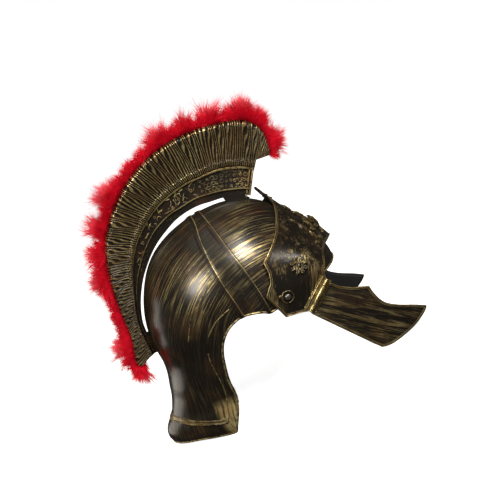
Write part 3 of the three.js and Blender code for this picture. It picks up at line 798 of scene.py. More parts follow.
def guard_finish(finish, look):
    """Strokes along the guard, densest in its middle where the lights' highlight falls, a painted highlight
    on top of the real strokes, inside a doubled gold border.
    """
    x, y, z = finish.axes()
    along = x * 0.70 - z * 0.71
    across = x * 0.71 + z * 0.70
    fine = finish.strokes(across * 900.0, y * 20.0, along * 38.0, 0.6)
    broad = finish.strokes(across * 200.0, y * 20.0, along * 24.0)
    patch = finish.noise(24.0).smooth(0.4, 0.62)
    streak = (fine * 0.6 + broad * 0.4).smooth(0.48, 0.6)
    edge = finish.layer("edge_mm")
    border = line_at(edge, 0.9, 0.35, 0.4) * 0.95 + line_at(edge, 2.5, 0.2, 0.35) * 0.75
    # More gold away from the edge, in the middle where the highlight falls: a painted highlight.
    worn_and_highlight = streak * (patch * 0.12 + 0.03 + edge.smooth(3.0, 14.0) * 0.24)
    gild(finish, look, worn_and_highlight + border * fine.smooth(0.28, 0.5), fine * 0.6 + broad * 0.4)


def plate_finish(finish, look):
    """Mostly bare black, with faint upright strokes and a thin gold border."""
    x, y, z = finish.axes()
    along = x * 0.5 + z * 0.87
    across = x * 0.87 - z * 0.5
    fine = finish.strokes(across * 620.0, y * 620.0, along * 45.0, 0.6)
    broad = finish.strokes(across * 110.0, y * 110.0, along * 24.0)
    patch = finish.noise(30.0).smooth(0.46, 0.66)
    streak = (fine * 0.55 + broad * 0.45).smooth(0.5, 0.62)
    edge = finish.layer("edge_mm")
    border = line_at(edge, 0.8, 0.3, 0.4) * 0.9 + line_at(edge, 2.6, 0.15, 0.35) * 0.5
    mask = streak * (patch * 0.42 + 0.12) + border * fine.smooth(0.28, 0.5)
    gild(finish, look, mask, fine * 0.6 + broad * 0.4, gloss=0.22)


def brush_finish(finish, look):
    """Gold along the crown of each bristle and brightest at the tips."""
    wisp, patch = finish.wear(420.0, 32.0, 0.35, 0.65)
    tips = finish.layer("reach").smooth(0.72, 0.97)
    crown = finish.layer("ridge").smooth(0.88, 0.99) * wisp.smooth(0.28, 0.48)
    gild(finish, look, crown * (tips * 0.6 + 0.45 + patch * 0.3), wisp, 0.0002, 0.15, 0.2)


def relief_finish(finish, look):
    """Raised ornament, gold where a dry brush touched it."""
    wisp, patch = finish.wear(380.0, 60.0, 0.38, 0.62)
    gild(finish, look, wisp.smooth(0.38, 0.62) * (patch * 0.5 + 0.4), wisp, 0.0002)


def hinge_finish(finish, look):
    """The knuckles and flanges, rubbed nearly clean gold."""
    wisp = finish.noise(260.0, 3.0, 0.6)
    gild(finish, look, wisp.smooth(0.3, 0.55) * 0.45 + 0.55, wisp, 0.0001)


def panel_finish(finish, look):
    """Dark ground of the crest's panel, gold on its two borders."""
    wisp = finish.noise(300.0, 4.0, 0.65)
    patch = finish.noise(40.0).smooth(0.45, 0.7)
    line = finish.layer("line").smooth(0.6, 0.95)
    mask = wisp.smooth(0.56, 0.7) * (patch * 0.12 + 0.02) + line * wisp.smooth(0.28, 0.5) * 0.85
    gild(finish, look, mask, wisp, 0.0004)


def inside_finish(finish, look):
    """Bare moulded plastic on the inside, dull and a little uneven."""
    grain = finish.noise(260.0, 3.0, 0.6)
    flow = finish.noise(22.0).smooth(0.35, 0.65)
    finish.set(Base_Color=finish.blend(flow, look.inside, INSIDE_PALE), Roughness=grain * 0.2 + 0.42)
    finish.bump(grain, 0.0002, 0.4)


def steel_finish(finish, look):
    """The rivets and pins, dull steel with darker stains."""
    wisp = finish.noise(700.0, 3.0, 0.6)
    colour = finish.blend(wisp.smooth(0.4, 0.7), look.steel, STEEL_STAIN)
    finish.set(Base_Color=colour, Metallic=0.9, Roughness=wisp * 0.25 + 0.28)
    finish.bump(wisp, 0.0002, 0.5)


def feather_finish(finish, look):
    """Soft down, deep red at the rim, pale red at the thin tips, with a painted glow in its own colour
    standing in for the light that comes through it.
    """
    reach = finish.layer("reach_mm")
    drift = finish.noise(90.0, 3.0, 0.6).smooth(0.45, 0.7) * 0.5
    base = finish.blend(reach.smooth(-2.0, 5.0), look.feather_deep, look.feather)
    tips = finish.blend(reach.smooth(9.0, 24.0) * 0.9, base, look.feather_tip)
    colour = finish.blend(drift, tips, look.feather_deep)
    # The emission is a painted glow for light shining through the down.
    finish.set(Base_Color=colour, Emission_Color=colour, Emission_Strength=0.2)
    finish.set(Roughness=0.85, Specular_IOR_Level=0.15)


FINISH_MAKERS = {
    "gilded_bowl": bowl_finish,
    "gilded_guard": guard_finish,
    "gilded_plate": plate_finish,
    "gilded_brush": brush_finish,
    "gilded_panel": panel_finish,
    "gilded_relief": relief_finish,
    "gilded_trim": trim_finish,
    "gilded_hinge": hinge_finish,
    "bare_inside": inside_finish,
    "rivet_steel": steel_finish,
    "red_feather": feather_finish,
}
FINISHES = {}


def finish_of(name):
    """Makes each finish once, and hands it out by name."""
    if name not in FINISHES:
        FINISHES[name] = Finish(name)
        FINISH_MAKERS[name](FINISHES[name], bpy.context.scene.helmet_look)
    return FINISHES[name].material


def length(name, description, default):
    return FloatProperty(name=name, description=description, default=default, unit="LENGTH")


def colour(name, description, default):
    return FloatVectorProperty(
        name=name, description=description, default=default, subtype="COLOR", size=3
    )


def number(name, description, default):
    return IntProperty(name=name, description=description, default=default, min=8)


class HelmetSizes(bpy.types.PropertyGroup):
    wall: length("Wall", "Thickness of the moulded shells", 0.002)
    rib_width: length("Rib width", "Width of the ribs over the crown", 0.0042)
    rib_height: length("Rib height", "How far the ribs stand out", 0.0011)
    bristles: number("Bristles", "Moulded bristles round the crest", 126)
    bristle_height: length("Bristle height", "Depth of the moulded bristles", 0.0016)
    brush_thickness: length("Brush thickness", "Thickness of the crest at its rim", 0.020)
    panel_thickness: length("Panel thickness", "Thickness of the crest's panel", 0.011)
    rosette_radius: length("Rosette radius", "Radius of the flower on each wing", 0.0105)
    feather_length: length("Feather length", "Length of the fluff round the crest", 0.029)
    feathers: number("Feathers", "Small feathers in each of the three strips of the trim", 520)
    barbs: number("Barbs", "Soft barbs on each small feather", 68)


class HelmetLook(bpy.types.PropertyGroup):
    black: colour("Black", "Bare plastic", (0.011, 0.009, 0.007))
    brown: colour("Brown", "Thin wash on the plastic", (0.05, 0.024, 0.011))
    gold: colour("Gold", "Fresh dry-brushed gold", (0.62, 0.5, 0.23))
    old_gold: colour("Old gold", "Darker gold", (0.36, 0.25, 0.1))
    inside: colour("Inside", "Bare inside of the shells", (0.014, 0.014, 0.016))
    steel: colour("Steel", "Rivet heads", (0.22, 0.215, 0.21))
    feather_deep: colour("Deep red", "Fluff near the crest", (0.36, 0.002, 0.008))
    feather: colour("Red", "Fluff", (0.66, 0.007, 0.027))
    feather_tip: colour("Tip red", "Thin tips of the fluff", (0.86, 0.12, 0.16))


class MakeBowl(bpy.types.Operator):
    """Smooth skull bowl with its neck guard, ribs, creases and rolled rim"""

    bl_idname = "helmet.make_bowl"
    bl_label = "Skull bowl"

    def execute(self, context):
        sizes = context.scene.helmet_sizes
        rim_turn, rim_height = self.rim()
        ahead = 2 * rim_turn[0] - rim_turn[10:0:-1]
        behind = 2 * rim_turn[-1] - rim_turn[-2:-12:-1]
        top_turn = np.convolve(np.concatenate([ahead, rim_turn, behind]), np.ones(21) / 21, mode="valid")
        top_turn[0], top_turn[-1] = 0.0, math.pi
        columns, rows = BOWL_GRID
        bm, u, w = grid(columns * 2, rows)
        column = np.abs(u * 2 - 1) * columns
        low_turn, high_turn, low_height = (
            np.interp(column, np.arange(columns + 1), line) for line in (rim_turn, top_turn, rim_height)
        )
        w = w**1.5
        turn = low_turn + (high_turn - low_turn) * np.clip(w * 3, 0, 1)
        low_place = bowl_place(low_height)
        points = bowl_point(turn, low_place + (len(BOWL_SECTIONS) - 2 - low_place) * w)
        points[:, 1] *= np.where(u < 0.5, -1, 1)
        set_places(bm, points)
        flat = np.stack([points[:, 0] - MIDDLE_X, points[:, 2]], axis=1)
        rear, front = (flat[:, 0] - rib_x(line, points[:, 2] / CROWN) for line in (REAR_RIB, FRONT_RIB))
        rise = ridge(rear, sizes.rib_width, 0.0009) + ridge(front, sizes.rib_width, 0.0009)
        set_layer(bm, "rib_mm", np.where(np.abs(rear) < np.abs(front), rear, front) * 1000)
        set_layer(bm, "neck_mm", nearest(flat, smooth_line(NECK_RIDGE, 500) * SIDE_SCALE) * 1000)
        set_layer(bm, "rise", sizes.rib_height * rise)
        settle(bm)
        raise_faces(bm, 2)
        piece = finish_piece(bm, "bowl_shell", "gilded_bowl", "helmet")
        wall(piece, sizes.wall)
        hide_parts("skull_bowl")
        self.lines()
        return {"FINISHED"}

    def rim(self):
        """The turns and heights of the lower edge, closer together where it runs steeply."""
        side_view = smooth_line(RIM, 3000)
        middle, reach, _ = bowl_plan(bowl_place(side_view[:, 1]))
        side_view = side_view[np.abs(side_view[:, 0] - middle) < reach][::-1]
        turns = bowl_turn(side_view[:, 0], side_view[:, 1])
        turns[0], turns[-1] = 0.0, math.pi
        rim = bowl_point(turns, bowl_place(side_view[:, 1]))
        degrees = np.degrees(turns)
        weight = 1 + 2.6 * (ridge(degrees - 84.4, 5, 1.5) + ridge(degrees - 100, 7, 1.5))
        rim = even_line(np.column_stack([rim, turns, side_view[:, 1]]), BOWL_GRID[0] + 1, weight)
        return rim[:, 3], rim[:, 4]

    def lines(self):
        """The rolled rim, the doubled line round the neck guard and the creases, as raised lines."""
        neck = smooth_line(NECK_RIDGE, 500)
        corner = int(np.argmin(neck[:, 1])) + 12
        round_lines = [on_bowl(beside(smooth_line(RIM, 900), 0.0014))]
        round_lines += [on_bowl(beside(neck[:corner], shift)) for shift in (-0.0019, 0.0019)]
        side_lines = [on_bowl(smooth_line(line, 90)) for line in (SIDE_CREASE, EAR_RIDGE)]
        side_lines.append(on_bowl(neck[corner - 2 :]))
        flip = np.array([1, -1, 1])
        joined = [np.concatenate([line[::-1] * flip, line]) for line in round_lines]
        raised_lines("bowl_border", joined, 0.0011)
        raised_lines("bowl_creases", side_lines + [line * flip for line in side_lines], 0.0006)


def bristle_wave(along, share, count, seed):
    """Height of the moulded bristles, 0 in the grooves and 1 on their crowns, and a number for each."""
    rng = np.random.default_rng(seed)
    start = rng.random(4) * math.tau
    sway = np.zeros_like(along)
    for k in range(4):
        sway += 0.3 * np.sin(along * (43 + 67 * k) + share * (2 + 1.7 * k) + start[k])
    phase = along * count + sway * (0.2 + 0.8 * share)
    number = np.floor(phase).astype(int) % 997
    crown = np.sqrt(np.clip(1 - ((phase % 1.0) * 2 - 1) ** 2, 0, 1))
    return crown, rng.random(997)[number]


def mirror_rows(v, marks):
    """Turns a grid's rows into marks that rise from one edge and come back on the other face."""
    loop = v * 2 - 1
    place = (1 - np.abs(loop)) * (len(marks) - 1)
    return np.where(loop < 0, -1.0, 1.0), place, np.interp(place, np.arange(len(marks)), marks)


def crest_turns(along):
    """Turns at even steps round the crest."""
    turns = np.linspace(0, 1, 900)
    line = crest_point(turns, rim_depth(turns) * 0.8)
    length = np.concatenate([[0], np.cumsum(np.linalg.norm(np.diff(line, axis=0), axis=1))])
    return np.interp(along * length[-1], length, turns)


class MakeCrest(bpy.types.Operator):
    """Bristled brush, panel with rings and scrolls, borders, frame and feet of the crest"""

    bl_idname = "helmet.make_crest"
    bl_label = "Crest"

    def execute(self, context):
        self.brush(context.scene.helmet_sizes)
        self.panel(context.scene.helmet_sizes)
        self.ornament(context.scene.helmet_sizes)
        return {"FINISHED"}

    def brush(self, sizes):
        marks = [0, 0, 0.03, 0.06, 0.085, 0.105, 0.12, 0.135, 0.15, 0.17, 0.2]
        marks += [*np.linspace(0.26, 0.9, 12), 0.93, 0.955, 0.975, 0.99, 1.0]
        bm, u, v = grid(sizes.bristles * 8, (len(marks) - 1) * 2)
        side, place, share = mirror_rows(v, marks)
        turn = crest_turns(u)
        outer = rim_depth(turn)
        tip = crest_point(1.0, rim_depth(1.0))
        inner = panel_depths(crest_row(turn))[1]
        inner = np.minimum(np.maximum(inner, cut_depth(turn, packed(BRUSH_CORNER), tip)), outer - 0.0005)
        crown, length = bristle_wave(u, share, sizes.bristles, 4)
        short_crown, short_length = bristle_wave(u, share, sizes.bristles * 1.13, 7)
        short = np.clip((0.125 + 0.03 * short_length - share) / 0.03, 0, 1)
        crown = crown + (short_crown - crown) * short
        high = (crown - 0.5) * sizes.bristle_height * (0.7 + 0.6 * length) + 0.0008 * short
        rounding = np.sqrt(np.clip(1 - np.clip((share - 0.9) / 0.1, 0, 1) ** 2, 0, 1))
        swell = np.interp(share, [0, 0.12, 0.2, 0.5, 0.86, 1.0], [0.66, 0.72, 0.7, 0.86, 1.0, 1.0])
        swell = swell + (0.92 - swell) * np.clip((turn - PANEL_END) / 0.04, 0, 1)
        ends = np.clip(np.minimum(u, 1 - u) / 0.005, 0, 1) ** 0.5
        y = (sizes.brush_thickness / 2 * swell + high) * ends * rounding
        scallop = (crown - 0.6) * 0.0012 * np.clip((share - 0.8) / 0.2, 0, 1)
        plane = crest_point(turn, inner + (outer - inner) * share + scallop)
        set_side_view(bm, plane, side * np.where(place < 0.5, 0.0, y))
        set_layer(bm, "ridge", crown)
        set_layer(bm, "reach", np.maximum(share, short * 0.8))
        settle(bm, 2e-6)
        piece = finish_piece(bm, "crest_brush", "gilded_brush", "helmet")
        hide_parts("crest")

    def panel(self, sizes):
        # 0 is the inner edge, 1 the lower border and 2 the upper one, a little under the brush
        marks = [0, 0, 0.45, 0.86, 0.92, 0.97, 1, 1.03, 1.08, 1.2, 1.5, 1.75, 1.84, 1.89, 1.93, 1.97, 2.02]
        marks += [2.08, 2.08]
        bm, u, v = grid(260, (len(marks) - 1) * 2)
        side, place, mark = mirror_rows(v, marks)
        turn = u * PANEL_END
        low, top = panel_depths(crest_row(turn))
        depth = np.where(mark < 1, low * mark, low + (top - low) * (mark - 1))
        border = ridge(mark - 1.0, 0.08, 0.05) + ridge(mark - 1.92, 0.08, 0.04)
        half = sizes.panel_thickness / 2 * (1 - 0.12 * ridge(mark - 1.46, 0.7, 0.1)) + 0.0015 * border
        half = np.where((place < 0.5) | (place > len(marks) - 1.5), 0.0, half)
        set_side_view(bm, crest_point(turn, depth), side * half)
        set_layer(bm, "line", border)
        settle(bm, 2e-6)
        close_open_edges(bm)
        foot_half = sizes.panel_thickness / 2 - 0.0002
        for outline in (FRONT_FOOT, REAR_FOOT):
            corners = [packed(shares) for shares in outline]
            face = bm.faces.new([bm.verts.new((x, -foot_half, z)) for x, z in corners])
            grown = bmesh.ops.extrude_face_region(bm, geom=[face])
            moved = [g for g in grown["geom"] if isinstance(g, bmesh.types.BMVert)]
            bmesh.ops.translate(bm, verts=moved, vec=(0, foot_half * 2, 0))
        face_out(bm)
        sharp_by_angle(finish_piece(bm, "crest_panel", "gilded_panel", "helmet"), 35)

    def ornament(self, sizes):
        """Small rings, hooks and leaves in rows on both faces of the panel, and the front frame's strips."""
        bm = bmesh.new()
        ring = ring_mesh(0.0021, 0.0004, 360, 12, 6)
        small = ring_mesh(0.0013, 0.00045, 360, 10, 6)
        hook = ring_mesh(0.0027, 0.00045, 205, 12, 6)
        long_hook = ring_mesh(0.0075, 0.0005, 80, 12, 6)
        leaf = leaf_mesh(0.0065, 0.0018, 0.0010)
        face = sizes.panel_thickness / 2 - 0.0004
        for side in (-1, 1):
            rng = random.Random(12)
            flip = Matrix.Scale(side, 4, (0, 1, 0))
            turn = 0.26
            while turn < PANEL_END - 0.022:
                row = crest_row(turn)
                low, top = panel_depths(row)
                rings = turn > 0.62
                kinds = (ring, small, ring, small, hook) if rings else (hook, leaf, long_hook, small, leaf)
                depth = low + PANEL_MARGIN + rng.uniform(0.0, 0.002)
                heading = math.radians(90 - row[0])
                while depth < top - PANEL_MARGIN:
                    part = rng.choice(kinds)
                    x, z = crest_point(turn + rng.uniform(-0.003, 0.003), depth)
                    lean = rng.choice((0.4, 2.9, 3.5, -0.3)) + rng.uniform(-0.3, 0.3)
                    spin = Matrix.Rotation(heading + lean, 4, "Y")
                    size = Matrix.Scale(rng.uniform(0.85, 1.1), 4)
                    add_mesh(bm, part, flip @ Matrix.Translation((x, face, z)) @ spin @ size)
                    depth += 0.0058 if rings else rng.uniform(0.0045, 0.006)
                turn += 0.0165 if rings else 0.0185
            start = crest_point(PANEL_END, 0.0)
            end = packed(BRUSH_CORNER)
            y = side * (face + 0.0006)
            for shift, radius in ((-0.0005, 0.0012), (-0.0048, 0.0008)):
                ends = [(x + shift, y, z) for x, z in (start, end)]
                tube_between(bm, *ends, radius, 8, 0.0002)
        face_out(bm)
        drop_meshes(ring, small, hook, long_hook, leaf)
        finish_piece(bm, "crest_ornament", "gilded_trim", "helmet")


def sharp_by_angle(piece, degrees):
    """Keeps the corners crisp while the rest stays smooth."""
    bm = bmesh.new()
    bm.from_mesh(piece.data)
    limit = math.radians(degrees)
    for edge in bm.edges:
        edge.smooth = not (len(edge.link_faces) == 2 and edge.calc_face_angle(0) > limit)
    bm.to_mesh(piece.data)
    bm.free()


class MakeFeathers(bpy.types.Operator):
    """Red fluffy feather trim along the crest's rim"""

    bl_idname = "helmet.make_feathers"
    bl_label = "Feather trim"

    def execute(self, context):
        sizes = context.scene.helmet_sizes
        turns = np.linspace(0.004, 0.997, 700)
        line = even_line(np.column_stack([crest_point(turns, rim_depth(turns)), turns]), 600)
        self.core(line)
        rng = random.Random(8)
        kinds = [self.feather(rng, sizes.barbs) for _ in range(14)]
        for part in (1, 2, 3):
            self.fluff(sizes, line, rng, kinds, f"feather_fluff_{part}")
        drop_meshes(*kinds)
        return {"FINISHED"}

    def core(self, line):
        """The narrow backing that the feathers are sewn on."""
        bm, u, v = grid(420, 12)
        turn = np.interp(u, np.linspace(0, 1, len(line)), line[:, 2])
        around = v * math.tau
        rough = np.random.default_rng(3).random(len(u)) * 0.0008
        ends = np.clip(np.minimum(u, 1 - u) / 0.01, 0, 1) ** 0.5
        out = (0.0008 + np.cos(around) * (0.0014 + rough)) * ends
        plane = crest_point(turn, rim_depth(turn) + out)
        set_side_view(bm, plane, np.sin(around) * (0.0055 + rough) * ends)
        set_layer(bm, "reach_mm", np.zeros(len(u)))
        settle(bm, 2e-6)
        piece = finish_piece(bm, "feather_core", "red_feather", "helmet")
        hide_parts("plume")

    def feather(self, rng, barbs):
        """One small soft feather of length 1 that stands on the origin, its barbs thin ribbons."""
        curve = new_curve("feather")
        curve.extrude = 0.0085
        bend = Vector((rng.uniform(-0.3, 0.3), rng.uniform(-0.3, 0.3), 0))
        for barb in range(barbs):
            share = ((barb + rng.random()) / barbs) ** 1.2
            spin = rng.random() * math.tau
            away = Vector((math.cos(spin), math.sin(spin), 0))
            up = Vector((bend.x * share * 2, bend.y * share * 2, 1)).normalized()
            root = Vector((0, 0, share * 0.62)) + bend * share * share
            reach = (0.62 - 0.2 * share) * rng.uniform(0.5, 1.4)
            opening = rng.uniform(0.15, 0.85)
            curl = opening * rng.uniform(0.2, 1.3)
            middle = root + (up * math.cos(opening) + away * math.sin(opening)) * reach * 0.55
            end = middle + (up * math.cos(curl) + away * math.sin(curl)) * reach * 0.45
            ribbon = curve.splines.new("POLY")
            ribbon.points.add(2)
            ribbon.points.foreach_set("co", [*root, 1, *middle, 1, *end, 1])
            ribbon.points.foreach_set("radius", [1.0, 0.75, 0.1])
            ribbon.points.foreach_set("tilt", [spin, spin + 0.6, spin + 1.2])
        return curve_mesh(curve)

    def fluff(self, sizes, line, rng, kinds, name):
        """A third of the feathers, in clumps that lean together, rooted all over the crest's rim."""
        bm = bmesh.new()
        for number in range(sizes.feathers):
            at = (number + rng.random()) / sizes.feathers * (len(line) - 2)
            step = int(at)
            point = line[step] + (line[step + 1] - line[step]) * (at % 1.0)
            ahead = line[min(step + 3, len(line) - 1)] - line[max(step - 3, 0)]
            tangent = Vector((ahead[0], 0, ahead[1])).normalized()
            out = Vector((-tangent.z, 0, tangent.x))
            clump = abs(math.sin(at * 0.06 + 1.7 * math.sin(at * 0.031))) ** 4
            length = sizes.feather_length * (0.52 + 0.45 * clump) * rng.uniform(0.5, 1.15)
            across = rng.uniform(-1, 1)
            lean = rng.gauss(0, 0.22) + 0.3 * math.sin(at * 0.15 + 0.6)
            tilt = across * 0.62 + rng.gauss(0, 0.2)
            shaft = out * math.cos(lean) + tangent * math.sin(lean)
            shaft = (shaft * math.cos(tilt) + Vector((0, 1, 0)) * math.sin(tilt)).normalized()
            root = Vector((point[0], across * 0.006, point[1])) - out * 0.0006
            turned = shaft.to_track_quat("Z", "Y").to_matrix().to_4x4()
            spin = Matrix.Rotation(rng.random() * math.tau, 4, "Z")
            place = Matrix.Translation(root) @ turned @ spin @ Matrix.Scale(length, 4)
            add_mesh(bm, rng.choice(kinds), place)
        flat = np.array([(vert.co.x, vert.co.z) for vert in bm.verts])
        set_layer(bm, "reach_mm", nearest(flat, line[::2, :2]) * 1000)
        finish_piece(bm, name, "red_feather", "helmet", smooth=False)


def plate_lines():
    """The top, bottom, rear and middle edges of one half of the brow plate, in turn and height."""

    def to_turn(points):
        return np.stack([plate_turn(points[:, 0], points[:, 1]), points[:, 1]], axis=1)

    def even(points, count):
        place = plate_point(points[:, 0], points[:, 1])
        return even_line(np.column_stack([place, points]), count)[:, 3:]

    hinge = [hinge_point(along, -HINGE_GAP) for along in (-HINGE_HALF, HINGE_HALF)]
    ends = [((x - MIDDLE_X) / HALF_LENGTH, z / CROWN) for x, z in hinge]
    bottom = to_turn(sharp_line([*PLATE_CORNER[::-1], *ends, *PLATE_EYE[::-1]]))
    top = to_turn(np.concatenate([sharp_line(PLATE_TOP[:4])[:-1], smooth_line(PLATE_TOP[3:], 120)]))
    rear = to_turn(np.linspace(PLATE_CORNER[1], PLATE_TOP[0], 21))
    bottom[-1, 0] = 0
    top[-1, 0] = 0
    middle = np.linspace(bottom[-1], top[-1], 60)
    columns, rows = PLATE_GRID
    return even(top, columns + 1), even(bottom, columns + 1), even(rear, rows + 1), even(middle, rows + 1)


class MakePlate(bpy.types.Operator):
    """Brow plate with its beaded edges, forehead ornament, rosettes, knuckles and rivets"""

    bl_idname = "helmet.make_plate"
    bl_label = "Brow plate"

    def execute(self, context):
        self.sheet(context.scene.helmet_sizes.wall)
        self.ornaments(context.scene.helmet_sizes.rosette_radius)
        self.knuckles()
        self.rivets()
        return {"FINISHED"}

    def sheet(self, thickness):
        columns, rows = PLATE_GRID
        lines = plate_lines()
        inside = coons(*lines, columns, rows)
        bm, u, v = grid(columns * 2, rows)
        side = u * 2 - 1
        column = np.rint((1 - np.abs(side)) * columns).astype(int)
        level = np.rint(v * rows).astype(int)
        turn, height = inside[level, column, 0], inside[level, column, 1]
        points = plate_point(np.where(column == columns, 0.0, turn), height)
        borders = [even_line(plate_point(line[:, 0], line[:, 1]), 500) for line in lines[:3]]
        edge = np.min([nearest(points, border) for border in borders], axis=0)
        points[:, 1] *= np.where(side < 0, -1.0, 1.0)
        set_places(bm, points)
        set_layer(bm, "edge_mm", edge * 1000)
        set_layer(bm, "rise", beaded_edge(edge, 0.0008, 0.0006))
        settle(bm)
        raise_faces(bm, 0)
        piece = finish_piece(bm, "brow_sheet", "gilded_plate", "helmet")
        wall(piece, thickness)
        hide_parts("brow_plate")

    def ornaments(self, reach):
        """The flower on each wing and the spray of leaves over the forehead."""
        bm = bmesh.new()
        petal = leaf_mesh(reach * 0.72, reach * 0.5, 0.0022)
        leaf = leaf_mesh(0.018, 0.0075, 0.0024)
        dome = bmesh.new()
        bmesh.ops.create_uvsphere(dome, u_segments=16, v_segments=8, radius=0.0026)
        dome = small_mesh("dome", dome)
        level = Matrix.Rotation(math.pi / 2, 4, "X")
        for side in (-1, 1):
            middle = plate_frame(plate_turn(*ROSETTE)[0], ROSETTE[1], side)
            for k in range(8):
                for shift, lift, size, start in ((0.28, 0.0, 1.0, 0.0), (0.12, 0.0009, 0.66, 0.5)):
                    spin = Matrix.Rotation((k + start) * math.tau / 8, 4, "Z")
                    out = Matrix.Translation((reach * shift, 0, lift))
                    add_mesh(bm, petal, middle @ spin @ out @ level @ Matrix.Scale(size, 4))
            add_mesh(bm, dome, middle @ Matrix.Translation((0, 0, 0.001)))
            for turn, height, angle, size in FOREHEAD_LEAVES:
                if side < 0 and turn == 0 and angle == 90:
                    continue
                spin = Matrix.Rotation(math.radians(angle if side > 0 else 180 - angle), 4, "Z")
                place = plate_frame(turn, height, side) @ spin
                add_mesh(bm, leaf, place @ level @ Matrix.Scale(size, 4))
        drop_meshes(petal, leaf, dome)
        face_out(bm)
        finish_piece(bm, "brow_ornament", "gilded_relief", "helmet")

    def knuckles(self):
        """The two fixed knuckles on each side, with raised bands, and the strip beside them."""
        bm = bmesh.new()
        for side in (-1, 1):
            for near, far in ((KNUCKLE_SPLIT + 0.0003, HINGE_HALF), (-HINGE_HALF, -KNUCKLE_SPLIT - 0.0003)):
                start, end = (Vector((x, side * HINGE_OUT, z)) for x, z in map(hinge_point, (near, far)))
                tube_between(bm, start, end, 0.0026)
                for share in (0.12, 0.38, 0.64, 0.9):
                    ends = [start.lerp(end, share + half) for half in (-0.07, 0.07)]
                    tube_between(bm, *ends, 0.003, bevel=0.0003)
            flange(bm, side, -1)
        finish_piece(bm, "brow_knuckles", "gilded_hinge", "helmet")

    def rivets(self):
        """Turned rivet heads in their washers, with the small locating boss beside each."""
        rivet_x, rivet_z = packed(RIVET)
        for side, word in ((-1, "right"), (1, "left")):
            bm = bmesh.new()
            verts = [bm.verts.new((radius, 0, height)) for radius, height in RIVET_PROFILE]
            edges = [bm.edges.new(pair) for pair in zip(verts[:-1], verts[1:])]
            bmesh.ops.spin(
                bm,
                geom=verts + edges,
                cent=(0, 0, 0),
                axis=(0, 0, 1),
                angle=math.tau,
                steps=28,
                use_merge=True,
            )
            settle(bm)
            bmesh.ops.holes_fill(bm, edges=bm.edges, sides=0)
            face_out(bm)
            centre = (rivet_x, side * (PLATE_HALF_WIDTH + 0.0011), rivet_z)
            turned = Matrix.Translation(centre) @ Matrix.Rotation(-side * math.pi / 2, 4, "X")
            bmesh.ops.transform(bm, matrix=turned, verts=bm.verts)
            piece = finish_piece(bm, f"rivet_head_{word}", "rivet_steel", "helmet")
            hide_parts(f"brow_rivet_{word}")
        bm = bmesh.new()
        washer = ring_mesh(0.0064, 0.0007, 360, 32, 8)
        boss = ring_mesh(0.0011, 0.0010, 360, 16, 8)
        for side in (-1, 1):
            y = side * (PLATE_HALF_WIDTH + 0.0004)
            add_mesh(bm, washer, Matrix.Translation((rivet_x, y, rivet_z)))
            add_mesh(bm, boss, Matrix.Translation((rivet_x - 0.0067, y, rivet_z + 0.0040)))
        face_out(bm)
        drop_meshes(washer, boss)
        finish_piece(bm, "brow_washers", "gilded_relief", "helmet")


def flange(bm, side, up):
    """The strip beside the knuckles on one sheet: a raised bar with a row of beads along it."""
    near, far = [hinge_point(end * HINGE_HALF, up * 0.0048) for end in (-1, 1)]
    y = side * (PLATE_HALF_WIDTH + 0.0005)
    tube_between(bm, (near[0], y, near[1]), (far[0], y, far[1]), 0.0008, 10, 0.0002)
    near, far = [hinge_point(end * (HINGE_HALF - 0.0008), up * 0.0066) for end in (-1, 1)]
    bead = bmesh.new()
    bmesh.ops.create_uvsphere(bead, u_segments=8, v_segments=5, radius=0.00075)
    mesh = small_mesh("bead", bead)
    count = int(math.dist(near, far) / BEAD_STEP)
    for x, z in np.linspace(near, far, count + 1):
        add_mesh(bm, mesh, Matrix.Translation((x, side * (PLATE_HALF_WIDTH + 0.0004), z)))
    drop_meshes(mesh)


